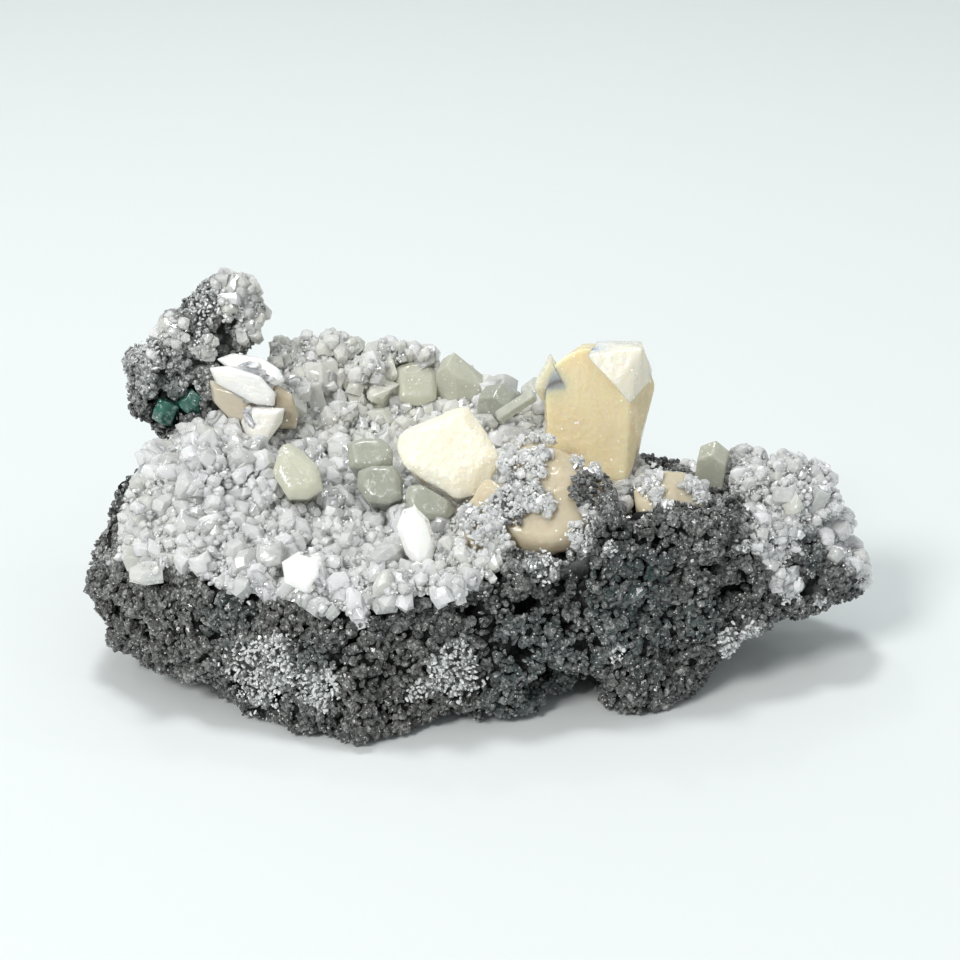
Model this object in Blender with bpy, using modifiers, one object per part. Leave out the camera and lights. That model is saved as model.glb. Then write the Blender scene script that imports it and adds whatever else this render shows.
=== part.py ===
"""Apophyllite with stilbite: a hand specimen of zeolite crystals on knobbly dark rock.

Metres, +Z up. The side of the specimen that the photo shows faces -Y and its long axis runs along
X. The origin lies on the surface that the rock stands on, below the middle of the specimen's box.
"""

import math
import random

import bmesh
import bpy
import numpy as np
from mathutils import Euler, Matrix, Vector

MM = 0.001

# Driving dimensions, in millimetres unless the name says otherwise.
GAP = 0.35
ROCK_VOXEL = 1.3
ROCK_TRIANGLES = 3200
ROCK_RELIEF = 2.6
ROCK_LUMP = 7.0
DRUSE_DEPTH = 3.0
DRUSE_CRYSTALS = 34
DRUSE_SPACING = 6.6
BED_STEP = 8.0
BED_SPAN = (160.0, 96.0)
SKY = 80.0
SEED = 11

# Cross-sections of the rock along X: x, y of its foot, front y, back y, underside z, front rim z,
# y and z of the floor of the hollow, and back rim z.
SECTIONS = (
    (-57.5, -9.0, -13.0, 2.0, 10.0, 18.0, -5.0, 20.0, 19.5),
    (-54.5, -12.0, -16.5, 9.0, 4.0, 21.0, -4.0, 25.0, 25.0),
    (-47.0, -17.5, -21.5, 19.0, 3.6, 23.5, -1.0, 30.0, 30.5),
    (-37.5, -20.5, -26.0, 28.0, 1.6, 23.5, 1.0, 31.0, 36.0),
    (-27.0, -25.0, -29.5, 33.0, -1.4, 21.5, 4.0, 27.0, 38.0),
    (-16.5, -28.5, -32.0, 35.0, -1.4, 21.5, 6.0, 25.5, 37.5),
    (-6.0, -22.0, -29.5, 33.0, -1.0, 24.0, 5.0, 26.0, 35.0),
    (4.5, -23.5, -29.0, 29.0, -1.0, 26.0, 3.0, 26.5, 32.0),
    (13.5, -17.5, -26.5, 24.0, 1.2, 27.5, 1.0, 27.5, 29.5),
    (22.0, -22.0, -25.5, 17.0, -1.8, 30.0, -2.0, 28.5, 27.0),
    (32.0, -18.0, -22.0, 12.0, -1.8, 30.0, -4.0, 29.5, 26.5),
    (36.5, -14.0, -20.5, 11.0, 4.0, 27.5, -4.0, 29.0, 26.5),
    (45.0, -11.0, -16.5, 10.0, 8.0, 24.5, -3.0, 28.0, 25.5),
    (51.0, -9.0, -13.5, 8.0, 7.8, 22.5, -3.0, 25.0, 22.5),
    (57.0, -6.5, -10.0, 4.0, 10.5, 17.0, -3.0, 18.0, 17.0),
)
RIM_INSET = 3.0
SECTION_POINTS = 36
SECTION_CORNERS = 9
FRONT_RIM, BACK_RIM = 2, 6
SECTIONS_BETWEEN = 4

# Bosses of rock grown onto the loft: centre, radii and turn about Z in degrees.
BOSSES = (
    ((-40.2, 21.5, 47.4), (5.0, 4.4, 6.8), 10),
    ((-37.6, 22.0, 45.4), (4.0, 4.2, 7.0), 0),
    ((-44.2, 20.0, 42.8), (6.6, 5.2, 6.4), 25),
    ((-49.6, 17.5, 38.4), (6.0, 5.2, 5.6), 30),
    ((-51.2, 15.5, 34.6), (4.2, 4.6, 4.8), 30),
    ((-43.0, 18.0, 32.0), (8.6, 7.5, 8.0), 20),
    ((-40.5, 0.5, 27.0), (11.0, 11.0, 6.4), 0),
    ((-54.8, -11.0, 15.6), (4.4, 5.0, 3.2), 10),
    ((-52.6, -12.5, 7.0), (3.6, 4.4, 3.2), 0),
    ((-47.5, -2.0, 22.0), (6.0, 9.0, 6.0), 15),
    ((18.6, -20.5, 30.6), (2.8, 3.0, 5.0), 0),
    ((30.0, -18.5, 26.5), (6.5, 4.0, 5.2), 0),
    ((51.0, -9.5, 15.5), (6.5, 4.5, 5.5), 0),
    ((56.2, -5.5, 14.0), (4.0, 4.4, 4.2), 0),
    ((24.0, -19.0, 4.0), (6.5, 4.0, 4.6), 0),
    ((-20.5, -26.5, 5.0), (8.0, 4.4, 5.5), 0),
)

# Caves eaten into the dark faces: centre and radii.
CAVES = (
    ((24.5, -27.0, 22.5), (5.0, 3.6, 1.6)),
    ((38.5, -20.0, 17.5), (4.6, 3.6, 1.8)),
    ((9.0, -29.5, 20.0), (5.5, 3.4, 1.7)),
    ((12.0, -25.0, 5.5), (6.5, 5.0, 2.8)),
    ((-33.0, -30.0, 9.0), (3.4, 3.6, 1.8)),
    ((-50.0, -20.5, 12.0), (2.6, 3.2, 2.4)),
)

# Plan outline of the druse that lines the hollow and drapes over its rims, round the horn of bare
# rock, and that of the glassy cluster on the right end.
DRUSE_OUTLINE = (
    (-53.0, -30.0), (-30.0, -40.0), (0.0, -40.0), (3.0, -24.0), (10.0, -19.0), (22.0, -9.0),
    (25.5, 2.0), (22.0, 30.0), (0.0, 42.0), (-33.0, 42.0), (-32.5, 21.0), (-37.0, 13.5),
    (-46.0, 9.0), (-53.5, 1.0),
)
GLASS_OUTLINE = (
    (38.5, -9.0), (43.5, -11.5), (51.0, -9.0), (60.0, -8.0), (61.0, 3.0), (52.0, 12.0),
    (38.0, 13.0), (36.5, 2.0),
)
GLASS_LUMPS = (
    ((40.5, -5.0, 27.6), 3.6), ((41.0, 2.5, 27.6), 3.6), ((46.5, -6.5, 26.6), 3.4), ((46.8, 0.0, 27.4), 3.8),
    ((51.2, -4.5, 25.2), 3.3), ((50.8, 2.0, 25.6), 3.5), ((54.0, -2.5, 20.8), 2.9),
)

# Crystals that stand along the back rim: tip and half the diagonal of each.
RIM_TIPS = (
    ((-33.0, 26.5, 40.2), 3.0), ((-27.5, 29.0, 39.6), 2.6), ((-22.4, 29.5, 39.6), 3.2),
    ((-15.6, 29.0, 38.4), 2.8), ((-10.6, 28.5, 38.2), 2.4), ((-18.8, 24.0, 37.0), 3.4),
    ((-29.5, 20.5, 35.5), 3.8),
)

COLOURS = {
    "dark_rock": ((0.085, 0.09, 0.09, 1), 0.6),
    "druse": ((0.62, 0.64, 0.62, 1), 0.3),
    "tan_stilbite": ((0.78, 0.66, 0.45, 1), 0.35),
    "cream_stilbite": ((0.86, 0.8, 0.66, 1), 0.4),
    "peach_stilbite": ((0.62, 0.48, 0.36, 1), 0.4),
    "grey_apophyllite": ((0.55, 0.57, 0.5, 1), 0.25),
    "green_apophyllite": ((0.03, 0.2, 0.14, 1), 0.2),
}


def spline(keys, values, at):
    """Smooth values at the places asked for, through the given keys, by cubic Hermite pieces."""
    keys, values, at = (np.asarray(a, float) for a in (keys, values, at))
    slope = np.gradient(values, keys, axis=0)
    i = np.clip(np.searchsorted(keys, at) - 1, 0, len(keys) - 2)
    step = keys[i + 1] - keys[i]
    t = (at - keys[i]) / step
    shape = (-1,) + (1,) * (values.ndim - 1)
    t, step = t.reshape(shape), step.reshape(shape)
    start = (1 + 2 * t) * (1 - t) ** 2 * values[i] + t * (1 - t) ** 2 * step * slope[i]
    end = t * t * (3 - 2 * t) * values[i + 1] + t * t * (t - 1) * step * slope[i + 1]
    return start + end


def section_corners(section):
    """The (y, z) points that one cross-section passes through, from its front foot round over the top."""
    _, foot, front, back, under, rim_front, floor_y, floor_z, rim_back = section
    width = back - front
    return np.array([
        (foot, under),
        (front, under + 0.42 * (rim_front - under)),
        (front + RIM_INSET, rim_front),
        (0.5 * (front + floor_y), 0.5 * (rim_front + floor_z)),
        (floor_y, floor_z),
        (back - 0.2 * width, 0.6 * floor_z + 0.4 * rim_back),
        (back - 1.6 * RIM_INSET, rim_back),
        (back, under + 0.5 * (rim_back - under)),
        (back - 0.16 * width, under),
    ])


def rock_sections():
    """Closed rings of points, one for each cross-section of the rock, in millimetres: shape (n, m, 3)."""
    table = np.array(SECTIONS, float)
    xs = np.concatenate([
        np.linspace(a, b, SECTIONS_BETWEEN, endpoint=False) for a, b in zip(table[:-1, 0], table[1:, 0])
    ] + [table[-1:, 0]])
    rings = []
    for row in spline(table[:, 0], table, xs):
        corners = section_corners(row)
        loop = np.concatenate([corners[-2:], corners, corners[:3]])
        keys = np.arange(-2, SECTION_CORNERS + 3)
        yz = spline(keys, loop, np.linspace(0, SECTION_CORNERS, SECTION_POINTS, endpoint=False))
        rings.append(np.column_stack([np.full(SECTION_POINTS, row[0]), yz]))
    return np.array(rings)


def new_object(name, mesh, collection):
    obj = bpy.data.objects.new(name, mesh)
    collection.objects.link(obj)
    return obj


def mesh_from(name, bm):
    mesh = bpy.data.meshes.new(name)
    bm.to_mesh(mesh)
    bm.free()
    return mesh


def bake(obj):
    """Replaces an object's mesh by what its modifiers make of it."""
    graph = bpy.context.evaluated_depsgraph_get()
    mesh = bpy.data.meshes.new_from_object(obj.evaluated_get(graph))
    obj.modifiers.clear()
    obj.data = mesh


def boolean(obj, other, operation, own=False):
    """Joins, cuts or intersects a solid with another at once, with own also where it overlaps itself."""
    modifier = obj.modifiers.new(f"{operation.lower()} {other.name}", "BOOLEAN")
    modifier.operation = operation
    modifier.object = other
    modifier.solver = "EXACT" if own else "MANIFOLD"
    modifier.use_self = own
    bake(obj)


def keep_largest(obj):
    """Deletes every loose crumb of a mesh but its largest."""
    bm = bmesh.new()
    bm.from_mesh(obj.data)
    left, pieces = set(bm.verts), []
    while left:
        piece, edge = set(), {left.pop()}
        while edge:
            piece |= edge
            edge = {e.other_vert(v) for v in edge for e in v.link_edges} - piece
        left -= piece
        pieces.append(piece)
    pieces.sort(key=len)
    crumbs = [v for piece in pieces[:-1] for v in piece]
    bmesh.ops.delete(bm, geom=crumbs, context="VERTS")
    bm.to_mesh(obj.data)
    bm.free()


def ellipsoid(bm, centre, radii, turn=0, subdivisions=3):
    """Adds an ellipsoid, in millimetres, turned about Z by so many degrees."""
    place = (
        Matrix.Translation(Vector(centre) * MM)
        @ Matrix.Rotation(math.radians(turn), 4, "Z")
        @ Matrix.Diagonal((*(Vector(radii) * MM), 1))
    )
    bmesh.ops.create_icosphere(bm, subdivisions=subdivisions, radius=1, matrix=place)


def box_solid(name, low, high, collection):
    """A plain box between two corners in millimetres, used as a cutter."""
    low, high = Vector(low) * MM, Vector(high) * MM
    bm = bmesh.new()
    place = Matrix.Translation((low + high) / 2) @ Matrix.Diagonal((*(high - low), 1))
    bmesh.ops.create_cube(bm, size=1, matrix=place)
    return new_object(name, mesh_from(name, bm), collection)


def loft(bm, rings):
    """Adds a closed skin through rings of points, each end drawn in to a blunt point."""
    loops = [[bm.verts.new(Vector(p) * MM) for p in ring] for ring in rings]
    for a, b in zip(loops[:-1], loops[1:]):
        for i in range(len(a)):
            j = (i + 1) % len(a)
            bm.faces.new((a[i], b[i], b[j], a[j]))
    for loop, ring, push in ((loops[0], rings[0], -2.0), (loops[-1], rings[-1], 2.0)):
        tip = bm.verts.new((Vector(ring.mean(axis=0)) + Vector((push, 0, 0))) * MM)
        for i in range(len(loop)):
            bm.faces.new((loop[i], loop[(i + 1) % len(loop)], tip))
    bmesh.ops.recalc_face_normals(bm, faces=bm.faces)


def whole_rock(rings, guides):
    """Rock and druse together: loft and bosses fused, lumps raised, caves eaten, foot cut flat."""
    bm = bmesh.new()
    loft(bm, rings)
    for centre, radii, turn in BOSSES:
        ellipsoid(bm, centre, radii, turn)
    rock = new_object("whole_rock", mesh_from("whole_rock", bm), guides)
    fuse = rock.modifiers.new("fuse", "REMESH")
    fuse.mode = "VOXEL"
    fuse.voxel_size = ROCK_VOXEL * MM
    bake(rock)

    texture = bpy.data.textures.new("lumps", "VORONOI")
    texture.noise_scale = ROCK_LUMP * MM
    texture.distance_metric = "DISTANCE"
    relief = rock.modifiers.new("lumps", "DISPLACE")
    relief.texture = texture
    relief.texture_coords = "LOCAL"
    relief.strength = -ROCK_RELIEF * MM
    relief.mid_level = 0.3
    thin = rock.modifiers.new("fewer faces", "DECIMATE")
    thin.ratio = ROCK_TRIANGLES / (2 * len(rock.data.polygons))
    bake(rock)

    bm = bmesh.new()
    for centre, radii in CAVES:
        ellipsoid(bm, centre, radii, subdivisions=2)
    boolean(rock, new_object("caves", mesh_from("caves", bm), guides), "DIFFERENCE")
    under = box_solid("under_foot", (-90, -90, -30), (90, 90, 0), guides)
    boolean(rock, under, "DIFFERENCE")
    keep_largest(rock)
    return rock


def bed_height(rings, x, y):
    """Height of the smooth top of the rock above a place, in millimetres: the rim's own height past a rim."""
    share = SECTION_POINTS / SECTION_CORNERS
    top = rings[:, round(FRONT_RIM * share):round(BACK_RIM * share) + 1]
    i = int(np.clip(np.searchsorted(rings[:, 0, 0], x) - 1, 0, len(rings) - 2))
    t = float(np.clip((x - rings[i, 0, 0]) / (rings[i + 1, 0, 0] - rings[i, 0, 0]), 0, 1))
    ring = (1 - t) * top[i] + t * top[i + 1]
    return float(np.interp(y, ring[:, 1], ring[:, 2]))


def space_above_bed(name, rings, outline, gap, guides):
    """All the space above the bed of a crust, within a plan outline. A gap draws it in on every side."""
    width, depth = BED_SPAN
    bm = bmesh.new()
    bmesh.ops.create_grid(
        bm, x_segments=round(width / BED_STEP), y_segments=round(depth / BED_STEP), size=0.5,
        matrix=Matrix.Diagonal((width * MM, depth * MM, 1, 1)))
    for vert in bm.verts:
        bed = bed_height(rings, vert.co.x / MM, vert.co.y / MM) - DRUSE_DEPTH
        vert.co.z = (bed + 1.4 * gap) * MM
    bmesh.ops.triangulate(bm, faces=bm.faces, quad_method="FIXED")
    raise_to_sky(bm)
    space = new_object(name, mesh_from(name, bm), guides)

    plan = np.array(outline, float)
    away = plan - plan.mean(axis=0)
    plan -= away * 1.6 * gap / np.linalg.norm(away, axis=1, keepdims=True)
    bm = bmesh.new()
    bm.faces.new([bm.verts.new(Vector((x, y, -10.0)) * MM) for x, y in plan])
    raise_to_sky(bm)
    wall = new_object(f"{name}_wall", mesh_from(f"{name}_wall", bm), guides)
    boolean(space, wall, "INTERSECT")
    return space


def raise_to_sky(bm):
    """Makes a sheet of faces the floor of a solid that reaches far above the specimen."""
    raised = bmesh.ops.extrude_face_region(bm, geom=bm.faces[:])["geom"]
    for vert in (v for v in raised if isinstance(v, bmesh.types.BMVert)):
        vert.co.z = SKY * MM
    bmesh.ops.recalc_face_normals(bm, faces=bm.faces)


def apophyllite(half, length, steepness=1.1):
    """Corners of a square prism with four diamond faces on its end: half its diagonal, length, tip's slope."""
    ring = [(half, 0), (0, half), (-half, 0), (0, -half)]
    sides = [(half / 2, half / 2), (-half / 2, half / 2), (-half / 2, -half / 2), (half / 2, -half / 2)]
    points = [(x, y, 0) for x, y in ring]
    points += [(x, y, length - steepness * half) for x, y in ring]
    points += [(x, y, length - steepness * half / 2) for x, y in sides]
    return points + [(0, 0, length)]


def plate(outline, depth, bulge=0.8, front=0.72, back=0.78):
    """Corners of a thick chamfered plate: its outline, a smaller face pushed out and another sunk by its depth."""
    rim = np.array(outline, float)
    middle = rim.mean(axis=0)
    turned = np.roll(rim, -1, axis=0)
    normal = np.cross(rim - middle, turned - middle).sum(axis=0)
    normal /= np.linalg.norm(normal)
    normal *= -1 if normal[1] > 0 else 1
    face = middle + (rim - middle) * front + normal * bulge
    sunk = middle + (rim - middle) * back - normal * depth
    return [tuple(p) for p in np.concatenate([rim, face, sunk])]


def add_hull(bm, points, place=Matrix.Identity(4)):
    """Adds the flat-faced solid round a set of corners, in millimetres, moved by a matrix in millimetres."""
    part = bmesh.new()
    for p in points:
        part.verts.new(place @ Vector(p) * MM)
    result = bmesh.ops.convex_hull(part, input=part.verts)
    spare = {g for g in result["geom_interior"] + result["geom_unused"] if isinstance(g, bmesh.types.BMVert)}
    bmesh.ops.delete(part, geom=list(spare), context="VERTS")
    bmesh.ops.recalc_face_normals(part, faces=part.faces)
    mesh = mesh_from("hull", part)
    bm.from_mesh(mesh)
    bpy.data.meshes.remove(mesh)


def pose(at, tilt=(0, 0, 0)):
    """A matrix that turns by X, Y and Z degrees and then moves to a place in millimetres."""
    return Matrix.Translation(Vector(at)) @ Euler([math.radians(a) for a in tilt], "XYZ").to_matrix().to_4x4()


def fuse_self(obj):
    """Joins overlapping solids of one mesh in one skin, by cutting a far speck from it."""
    speck = box_solid("speck", (0, 0, -999), (1, 1, -998), bpy.context.scene.collection)
    boolean(obj, speck, "DIFFERENCE", own=True)
    bpy.data.objects.remove(speck)


def crystal(name, colour, shapes, parts):
    """One named crystal or intergrowth: flat-faced solids, each corners and a place, fused in one."""
    bm = bmesh.new()
    for points, place in shapes:
        add_hull(bm, points, place)
    obj = new_object(name, mesh_from(name, bm), parts)
    obj["colour"] = colour
    if len(shapes) > 1:
        fuse_self(obj)
    return obj


def glassy_cluster(parts):
    """The round glassy lumps that cap the right end, fused in one."""
    bm = bmesh.new()
    for centre, radius in GLASS_LUMPS:
        ellipsoid(bm, centre, (radius, radius, radius), subdivisions=2)
    obj = new_object("glassy_cluster", mesh_from("glassy_cluster", bm), parts)
    obj["colour"] = "druse"
    fuse_self(obj)
    return obj


def druse_crystals(rings, keep_clear, guides):
    """Apophyllite crystals that stand on the lined hollow and along its back rim, as overlapping solids."""
    rng = random.Random(SEED)
    count_x, count_t, _ = rings.shape
    chosen = []
    bm = bmesh.new()
    for tip, half in RIM_TIPS:
        lean = pose((0, 0, 0), (rng.uniform(-12, 12), rng.uniform(-12, 12), rng.uniform(0, 90)))
        place = Matrix.Translation(Vector(tip)) @ lean @ Matrix.Translation((0, 0, -9))
        add_hull(bm, apophyllite(half, 9, rng.uniform(0.7, 1.1)), place)
    for _ in range(4000):
        if len(chosen) == DRUSE_CRYSTALS:
            break
        i, t = rng.randrange(2, count_x - 2), rng.randrange(6, 25)
        here = Vector(rings[i, t])
        along = Vector(rings[i + 1, t] - rings[i - 1, t])
        across = Vector(rings[i, (t + 1) % count_t] - rings[i, t - 1])
        normal = across.cross(along).normalized()
        normal = normal if normal.z > 0 else -normal
        crowded = any((here - c).length < DRUSE_SPACING for c in chosen)
        if crowded or here.x > 14 or any((here - c).length < r for c, r in keep_clear):
            continue
        chosen.append(here)
        tilt = Vector((rng.uniform(-1, 1), rng.uniform(-1, 1), rng.uniform(-0.3, 0.6))) * 0.55
        axis = (normal + tilt).normalized()
        half, length = rng.uniform(1.8, 3.2), rng.uniform(4.4, 6.2)
        place = (
            Matrix.Translation(here - axis * length * 0.5)
            @ axis.to_track_quat("Z", "Y").to_matrix().to_4x4()
            @ Matrix.Rotation(rng.uniform(0, math.pi), 4, "Z")
        )
        add_hull(bm, apophyllite(half, length, rng.uniform(0.8, 1.3)), place)
    return new_object("druse_crystals", mesh_from("druse_crystals", bm), guides)


def here(points):
    """Corners already in the specimen's own place."""
    return points, Matrix.Identity(4)


def stilbite_prism():
    """The big tan upright crystal: a body that widens upwards, a pale chip on its right shoulder, a left step."""
    body = [
        (10.6, -3.5, 25), (21.5, -4, 25), (23.2, 3, 25), (21, 6, 25), (11.5, 5.5, 25), (9.9, 1, 25),
        (9.9, -1.8, 41.6), (22.6, -2.4, 43), (26.4, 2.8, 41.4), (24.5, 6.6, 42), (11.5, 6.2, 41.5), (9.5, 2, 42.2),
        (11.2, 0.6, 46), (15.2, 1.2, 48), (22.8, 0.6, 47.4), (24, 3.4, 47.4), (15.5, 4.4, 47.6),
    ]
    chip = [
        (15.8, -0.4, 47.4), (23.9, -0.6, 48.6), (25.8, 0.2, 43.8), (22.2, -3.2, 40.8), (20, -3, 43.8),
        (24.2, 3.6, 48.2), (17.5, 3, 48.4), (25.4, 3.2, 44.8),
    ]
    step = [
        (8.2, -0.8, 42), (8.4, 2.5, 42.4), (9.8, -1.4, 45.4), (10, 2.6, 45.6), (11.4, -1.6, 41), (11.4, 3, 41),
        (9.4, 0.4, 38.5),
    ]
    return here(body), here(chip), here(step)


def stilbite_sheaf():
    """Cream blades that fan out below the horn, over browner ones."""
    upper = [(-42, 14.5, 41.6), (-36.5, 14.5, 42.4), (-31.5, 11.5, 40.8), (-29.8, 10, 39), (-31.1, 9.5, 37),
             (-33.6, 9, 35.4), (-38.5, 11.5, 36.5), (-41.5, 13, 38.8)]
    lower = [(-37, 8.5, 32.8), (-35.4, 9, 35.2), (-30, 8.5, 35.2), (-30.4, 8, 33.2), (-31.5, 7, 31.6),
             (-33.5, 6, 29.5), (-36, 7, 31)]
    left = [(-42, 13, 38), (-41.6, 12, 34.8), (-38, 10, 31.6), (-35, 9.5, 32), (-36, 10.5, 37)]
    right = [(-32, 11, 38), (-29, 11, 36.4), (-28.2, 11, 33), (-28.6, 11, 30.5), (-32, 10, 31)]
    return here(plate(upper, 4)), here(plate(lower, 4)), here(plate(left, 4)), here(plate(right, 4))


def stilbite_dome():
    """The broad peach mass in front of the prism, with a low lobe on its left."""
    mass = [
        (3.7, -7, 36.4), (7.4, -6, 37.2), (11.1, -5.4, 36.9), (13.3, -6, 35.4), (16.2, -8, 34.2), (19.1, -10, 31.9),
        (20.2, -12, 30.9), (1.8, -19.6, 29.8), (5.7, -22.6, 27.4), (11.4, -23, 27.4), (15.7, -21.6, 27.7),
        (3.2, -13, 35.8), (9.5, -12, 36.5), (13.7, -16, 34.4), (18.6, -14, 32.8), (19.4, -18, 29.4),
        (1.6, -17, 24), (4, -21.5, 24), (16, -21, 24), (20, -14, 24), (18.4, -8, 25), (4, -6, 26),
    ]
    lobe = [
        (-2.6, -16, 30), (0.6, -12.5, 33.4), (3.4, -14, 34), (3.4, -20.5, 28.4), (-1.4, -20.5, 27),
        (-2.4, -17, 23.6), (0, -20.5, 23.6), (4, -17, 23.6), (1, -12.6, 25),
    ]
    return here(mass), here(lobe)


def stilbite_shoulder():
    """The lower peach mass to the right of the prism."""
    mass = [
        (22.8, -8.4, 30.6), (26.7, -6.4, 32.2), (31.3, -5.4, 31.8), (34, -7, 30.4), (33.8, -12, 27.6),
        (30.7, -15, 26.8), (24, -15.8, 27.4), (22.4, -13, 29), (23.5, -9, 24.6), (33, -8, 24.6), (31, -14, 24.6),
        (24, -14.5, 24.6), (27, -11.5, 31.4), (31.5, -10, 31),
    ]
    return (here(mass),)


def named_crystals(parts):
    """Every crystal big enough to have a name, in an order where a later one makes room for an earlier one."""
    wedge = [(-29.6, -4, 34.4), (-28.4, -3, 34.8), (-26.6, -3.6, 34.2), (-23.6, -6, 32.2), (-22.8, -8, 29.4),
             (-25, -9, 28.2), (-28.1, -9, 28.2), (-30.6, -6.4, 31.3)]
    block = [(-12.5, -4, 35), (-11.5, -3, 36.8), (-6, -1, 38), (-1.5, 1, 39.4), (1.5, -2, 37), (3.7, -6, 33.8),
             (1.5, -9, 29.6), (-3, -10, 28.6), (-7.4, -9, 30.3), (-11.1, -7, 32.6)]
    table_back = [(-19.9, 1.5, 32.6), (-17.5, 2.2, 33.2), (-14.5, 2.2, 33.1), (-12.8, 0.5, 32), (-12.8, -1, 30.2),
                  (-15.5, -1.8, 29.6), (-19.4, -1.4, 29.8)]
    table_front = [(-18, -3.4, 30.3), (-16, -3, 31), (-12.6, -3, 31), (-11.2, -4.4, 29.6), (-11.2, -7, 27.5),
                   (-13.5, -7.6, 26.8), (-16.4, -7, 26.8), (-18.2, -5, 28.4)]
    table_low = [(-10.4, -8.4, 30.2), (-8, -8, 30.4), (-4, -9, 28), (-3.4, -10, 26.8), (-4.4, -11.4, 26),
                 (-7.5, -12, 26.4), (-10, -11.6, 27.6), (-10.8, -10, 29)]
    fan = [(-11.8, -18.5, 28.4), (-10.8, -17.2, 30.6), (-9, -17, 31), (-7, -18, 29.2), (-6, -20, 26),
           (-6.6, -21.5, 24.2), (-8.4, -22.5, 23.4), (-10.4, -21, 25.2)]
    tuft = [(-28, -24, 25.5), (-25.5, -23.5, 27), (-22.2, -24, 26.4), (-21.6, -26, 23.8), (-24, -27.5, 22),
            (-27.4, -26.5, 23.4)]
    shard = [(-42, -14, 25.8), (-41, -13, 27.2), (-37.8, -12, 27.8), (-37, -12.8, 26.4), (-40.5, -14.8, 24.8)]
    rim_left = [(-18.5, 26, 33.6), (-16, 26.4, 34.4), (-13.9, 25.6, 33.6), (-13.6, 23, 31), (-15.6, 21, 29),
                (-17.4, 22, 30.4)]
    rim_slab = [(-13.7, 26.6, 34.6), (-11, 27.4, 35.6), (-8, 27.4, 35.4), (-6.4, 26, 33.8), (-6.6, 22.6, 30.8),
                (-9.5, 21.8, 30), (-12.8, 22.2, 30.6)]
    made = {
        "stilbite_prism": ("tan_stilbite", stilbite_prism()),
        "stilbite_block": ("cream_stilbite", (here(plate(block, 6, 1.2)),)),
        "stilbite_sheaf": ("cream_stilbite", stilbite_sheaf()),
        "stilbite_dome": ("peach_stilbite", stilbite_dome()),
        "stilbite_shoulder": ("peach_stilbite", stilbite_shoulder()),
        "stilbite_fan": ("cream_stilbite", (here(plate(fan, 3)),)),
        "stilbite_tuft": ("cream_stilbite", (here(plate(tuft, 3)),)),
        "stilbite_shard": ("cream_stilbite", (here(plate(shard, 3)),)),
        "apophyllite_wedge": ("grey_apophyllite", (here(plate(wedge, 5.5)),)),
        "apophyllite_back_table": ("grey_apophyllite", (here(plate(table_back, 6)),)),
        "apophyllite_front_table": ("grey_apophyllite", (here(plate(table_front, 6)),)),
        "apophyllite_low_table": ("grey_apophyllite", (here(plate(table_low, 4.5)),)),
        "apophyllite_rim_slab": ("grey_apophyllite", (here(plate(rim_slab, 5)),)),
        "apophyllite_rim_prism": ("grey_apophyllite", (here(plate(rim_left, 5)),)),
        "apophyllite_rim_point": (
            "grey_apophyllite",
            ((apophyllite(2.8, 9.5, 1.3), pose((-4.4, 25.6, 28.6), (3, 2, 15))),
             (apophyllite(2.8, 7.5, 0.7), pose((-1.2, 24.4, 27.6), (-4, 4, 40))))),
        "apophyllite_rim_dome": ("grey_apophyllite", ((apophyllite(3.7, 8, 0.6), pose((3.2, 20.6, 26.8), (6, 0, 20))),)),
        "apophyllite_rod": ("grey_apophyllite", ((apophyllite(1.1, 7.5, 0.4), pose((3.2, 14.6, 31.2), (0, 52, -14))),)),
        "apophyllite_point": ("grey_apophyllite", ((apophyllite(3.1, 7.6, 0.9), pose((35.2, -0.6, 26.6), (4, 2, 30))),)),
        "green_apophyllite_lower": (
            "green_apophyllite", ((apophyllite(2.4, 5.4, 0.8), pose((-48.2, 15.2, 32.2), (72, -24, 0))),)),
        "green_apophyllite_upper": (
            "green_apophyllite", ((apophyllite(2.4, 5.2, 0.8), pose((-45.6, 16, 33.6), (80, 4, 20))),)),
        "green_apophyllite_side": (
            "green_apophyllite", ((apophyllite(2.6, 5.6, 0.8), pose((-48.4, 0.5, 24.4), (10, -84, 0))),)),
    }
    return [crystal(name, colour, shapes, parts) for name, (colour, shapes) in made.items()]


def grown(obj, guides):
    """A copy of a solid whose faces all stand out by the gap, to cut its seat in what it grows from."""
    bm = bmesh.new()
    bm.from_mesh(obj.data)
    bm.normal_update()
    moves = [(v, v.normal * min(v.calc_shell_factor(), 3.0) * GAP * MM) for v in bm.verts]
    for vert, move in moves:
        vert.co += move
    name = f"seat_of_{obj.name}"
    return new_object(name, mesh_from(name, bm), guides)


def corners(obj):
    """Low and high corners of a solid's box."""
    points = np.empty(3 * len(obj.data.vertices))
    obj.data.vertices.foreach_get("co", points)
    points = points.reshape(-1, 3)
    return points.min(axis=0), points.max(axis=0)


def boxes_meet(a, b):
    """True if the boxes round two solids overlap."""
    (low_a, high_a), (low_b, high_b) = corners(a), corners(b)
    return bool((np.maximum(low_a, low_b) < np.minimum(high_a, high_b)).all())


def cut_seats(host, seats):
    """Cuts from a solid the seats of those that reach into it, and drops the crumbs."""
    for seat in seats:
        if boxes_meet(host, seat):
            boolean(host, seat, "DIFFERENCE")
    keep_largest(host)


def centre_on_origin(solids):
    """Shifts all the solids alike, so that the middle of their box lies over the origin and its floor at z 0."""
    boxes = [corners(obj) for obj in solids]
    low = np.min([b[0] for b in boxes], axis=0)
    high = np.max([b[1] for b in boxes], axis=0)
    middle = Vector(((low[0] + high[0]) / 2, (low[1] + high[1]) / 2, low[2]))
    for obj in solids:
        obj.data.transform(Matrix.Translation(-middle))


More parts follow.
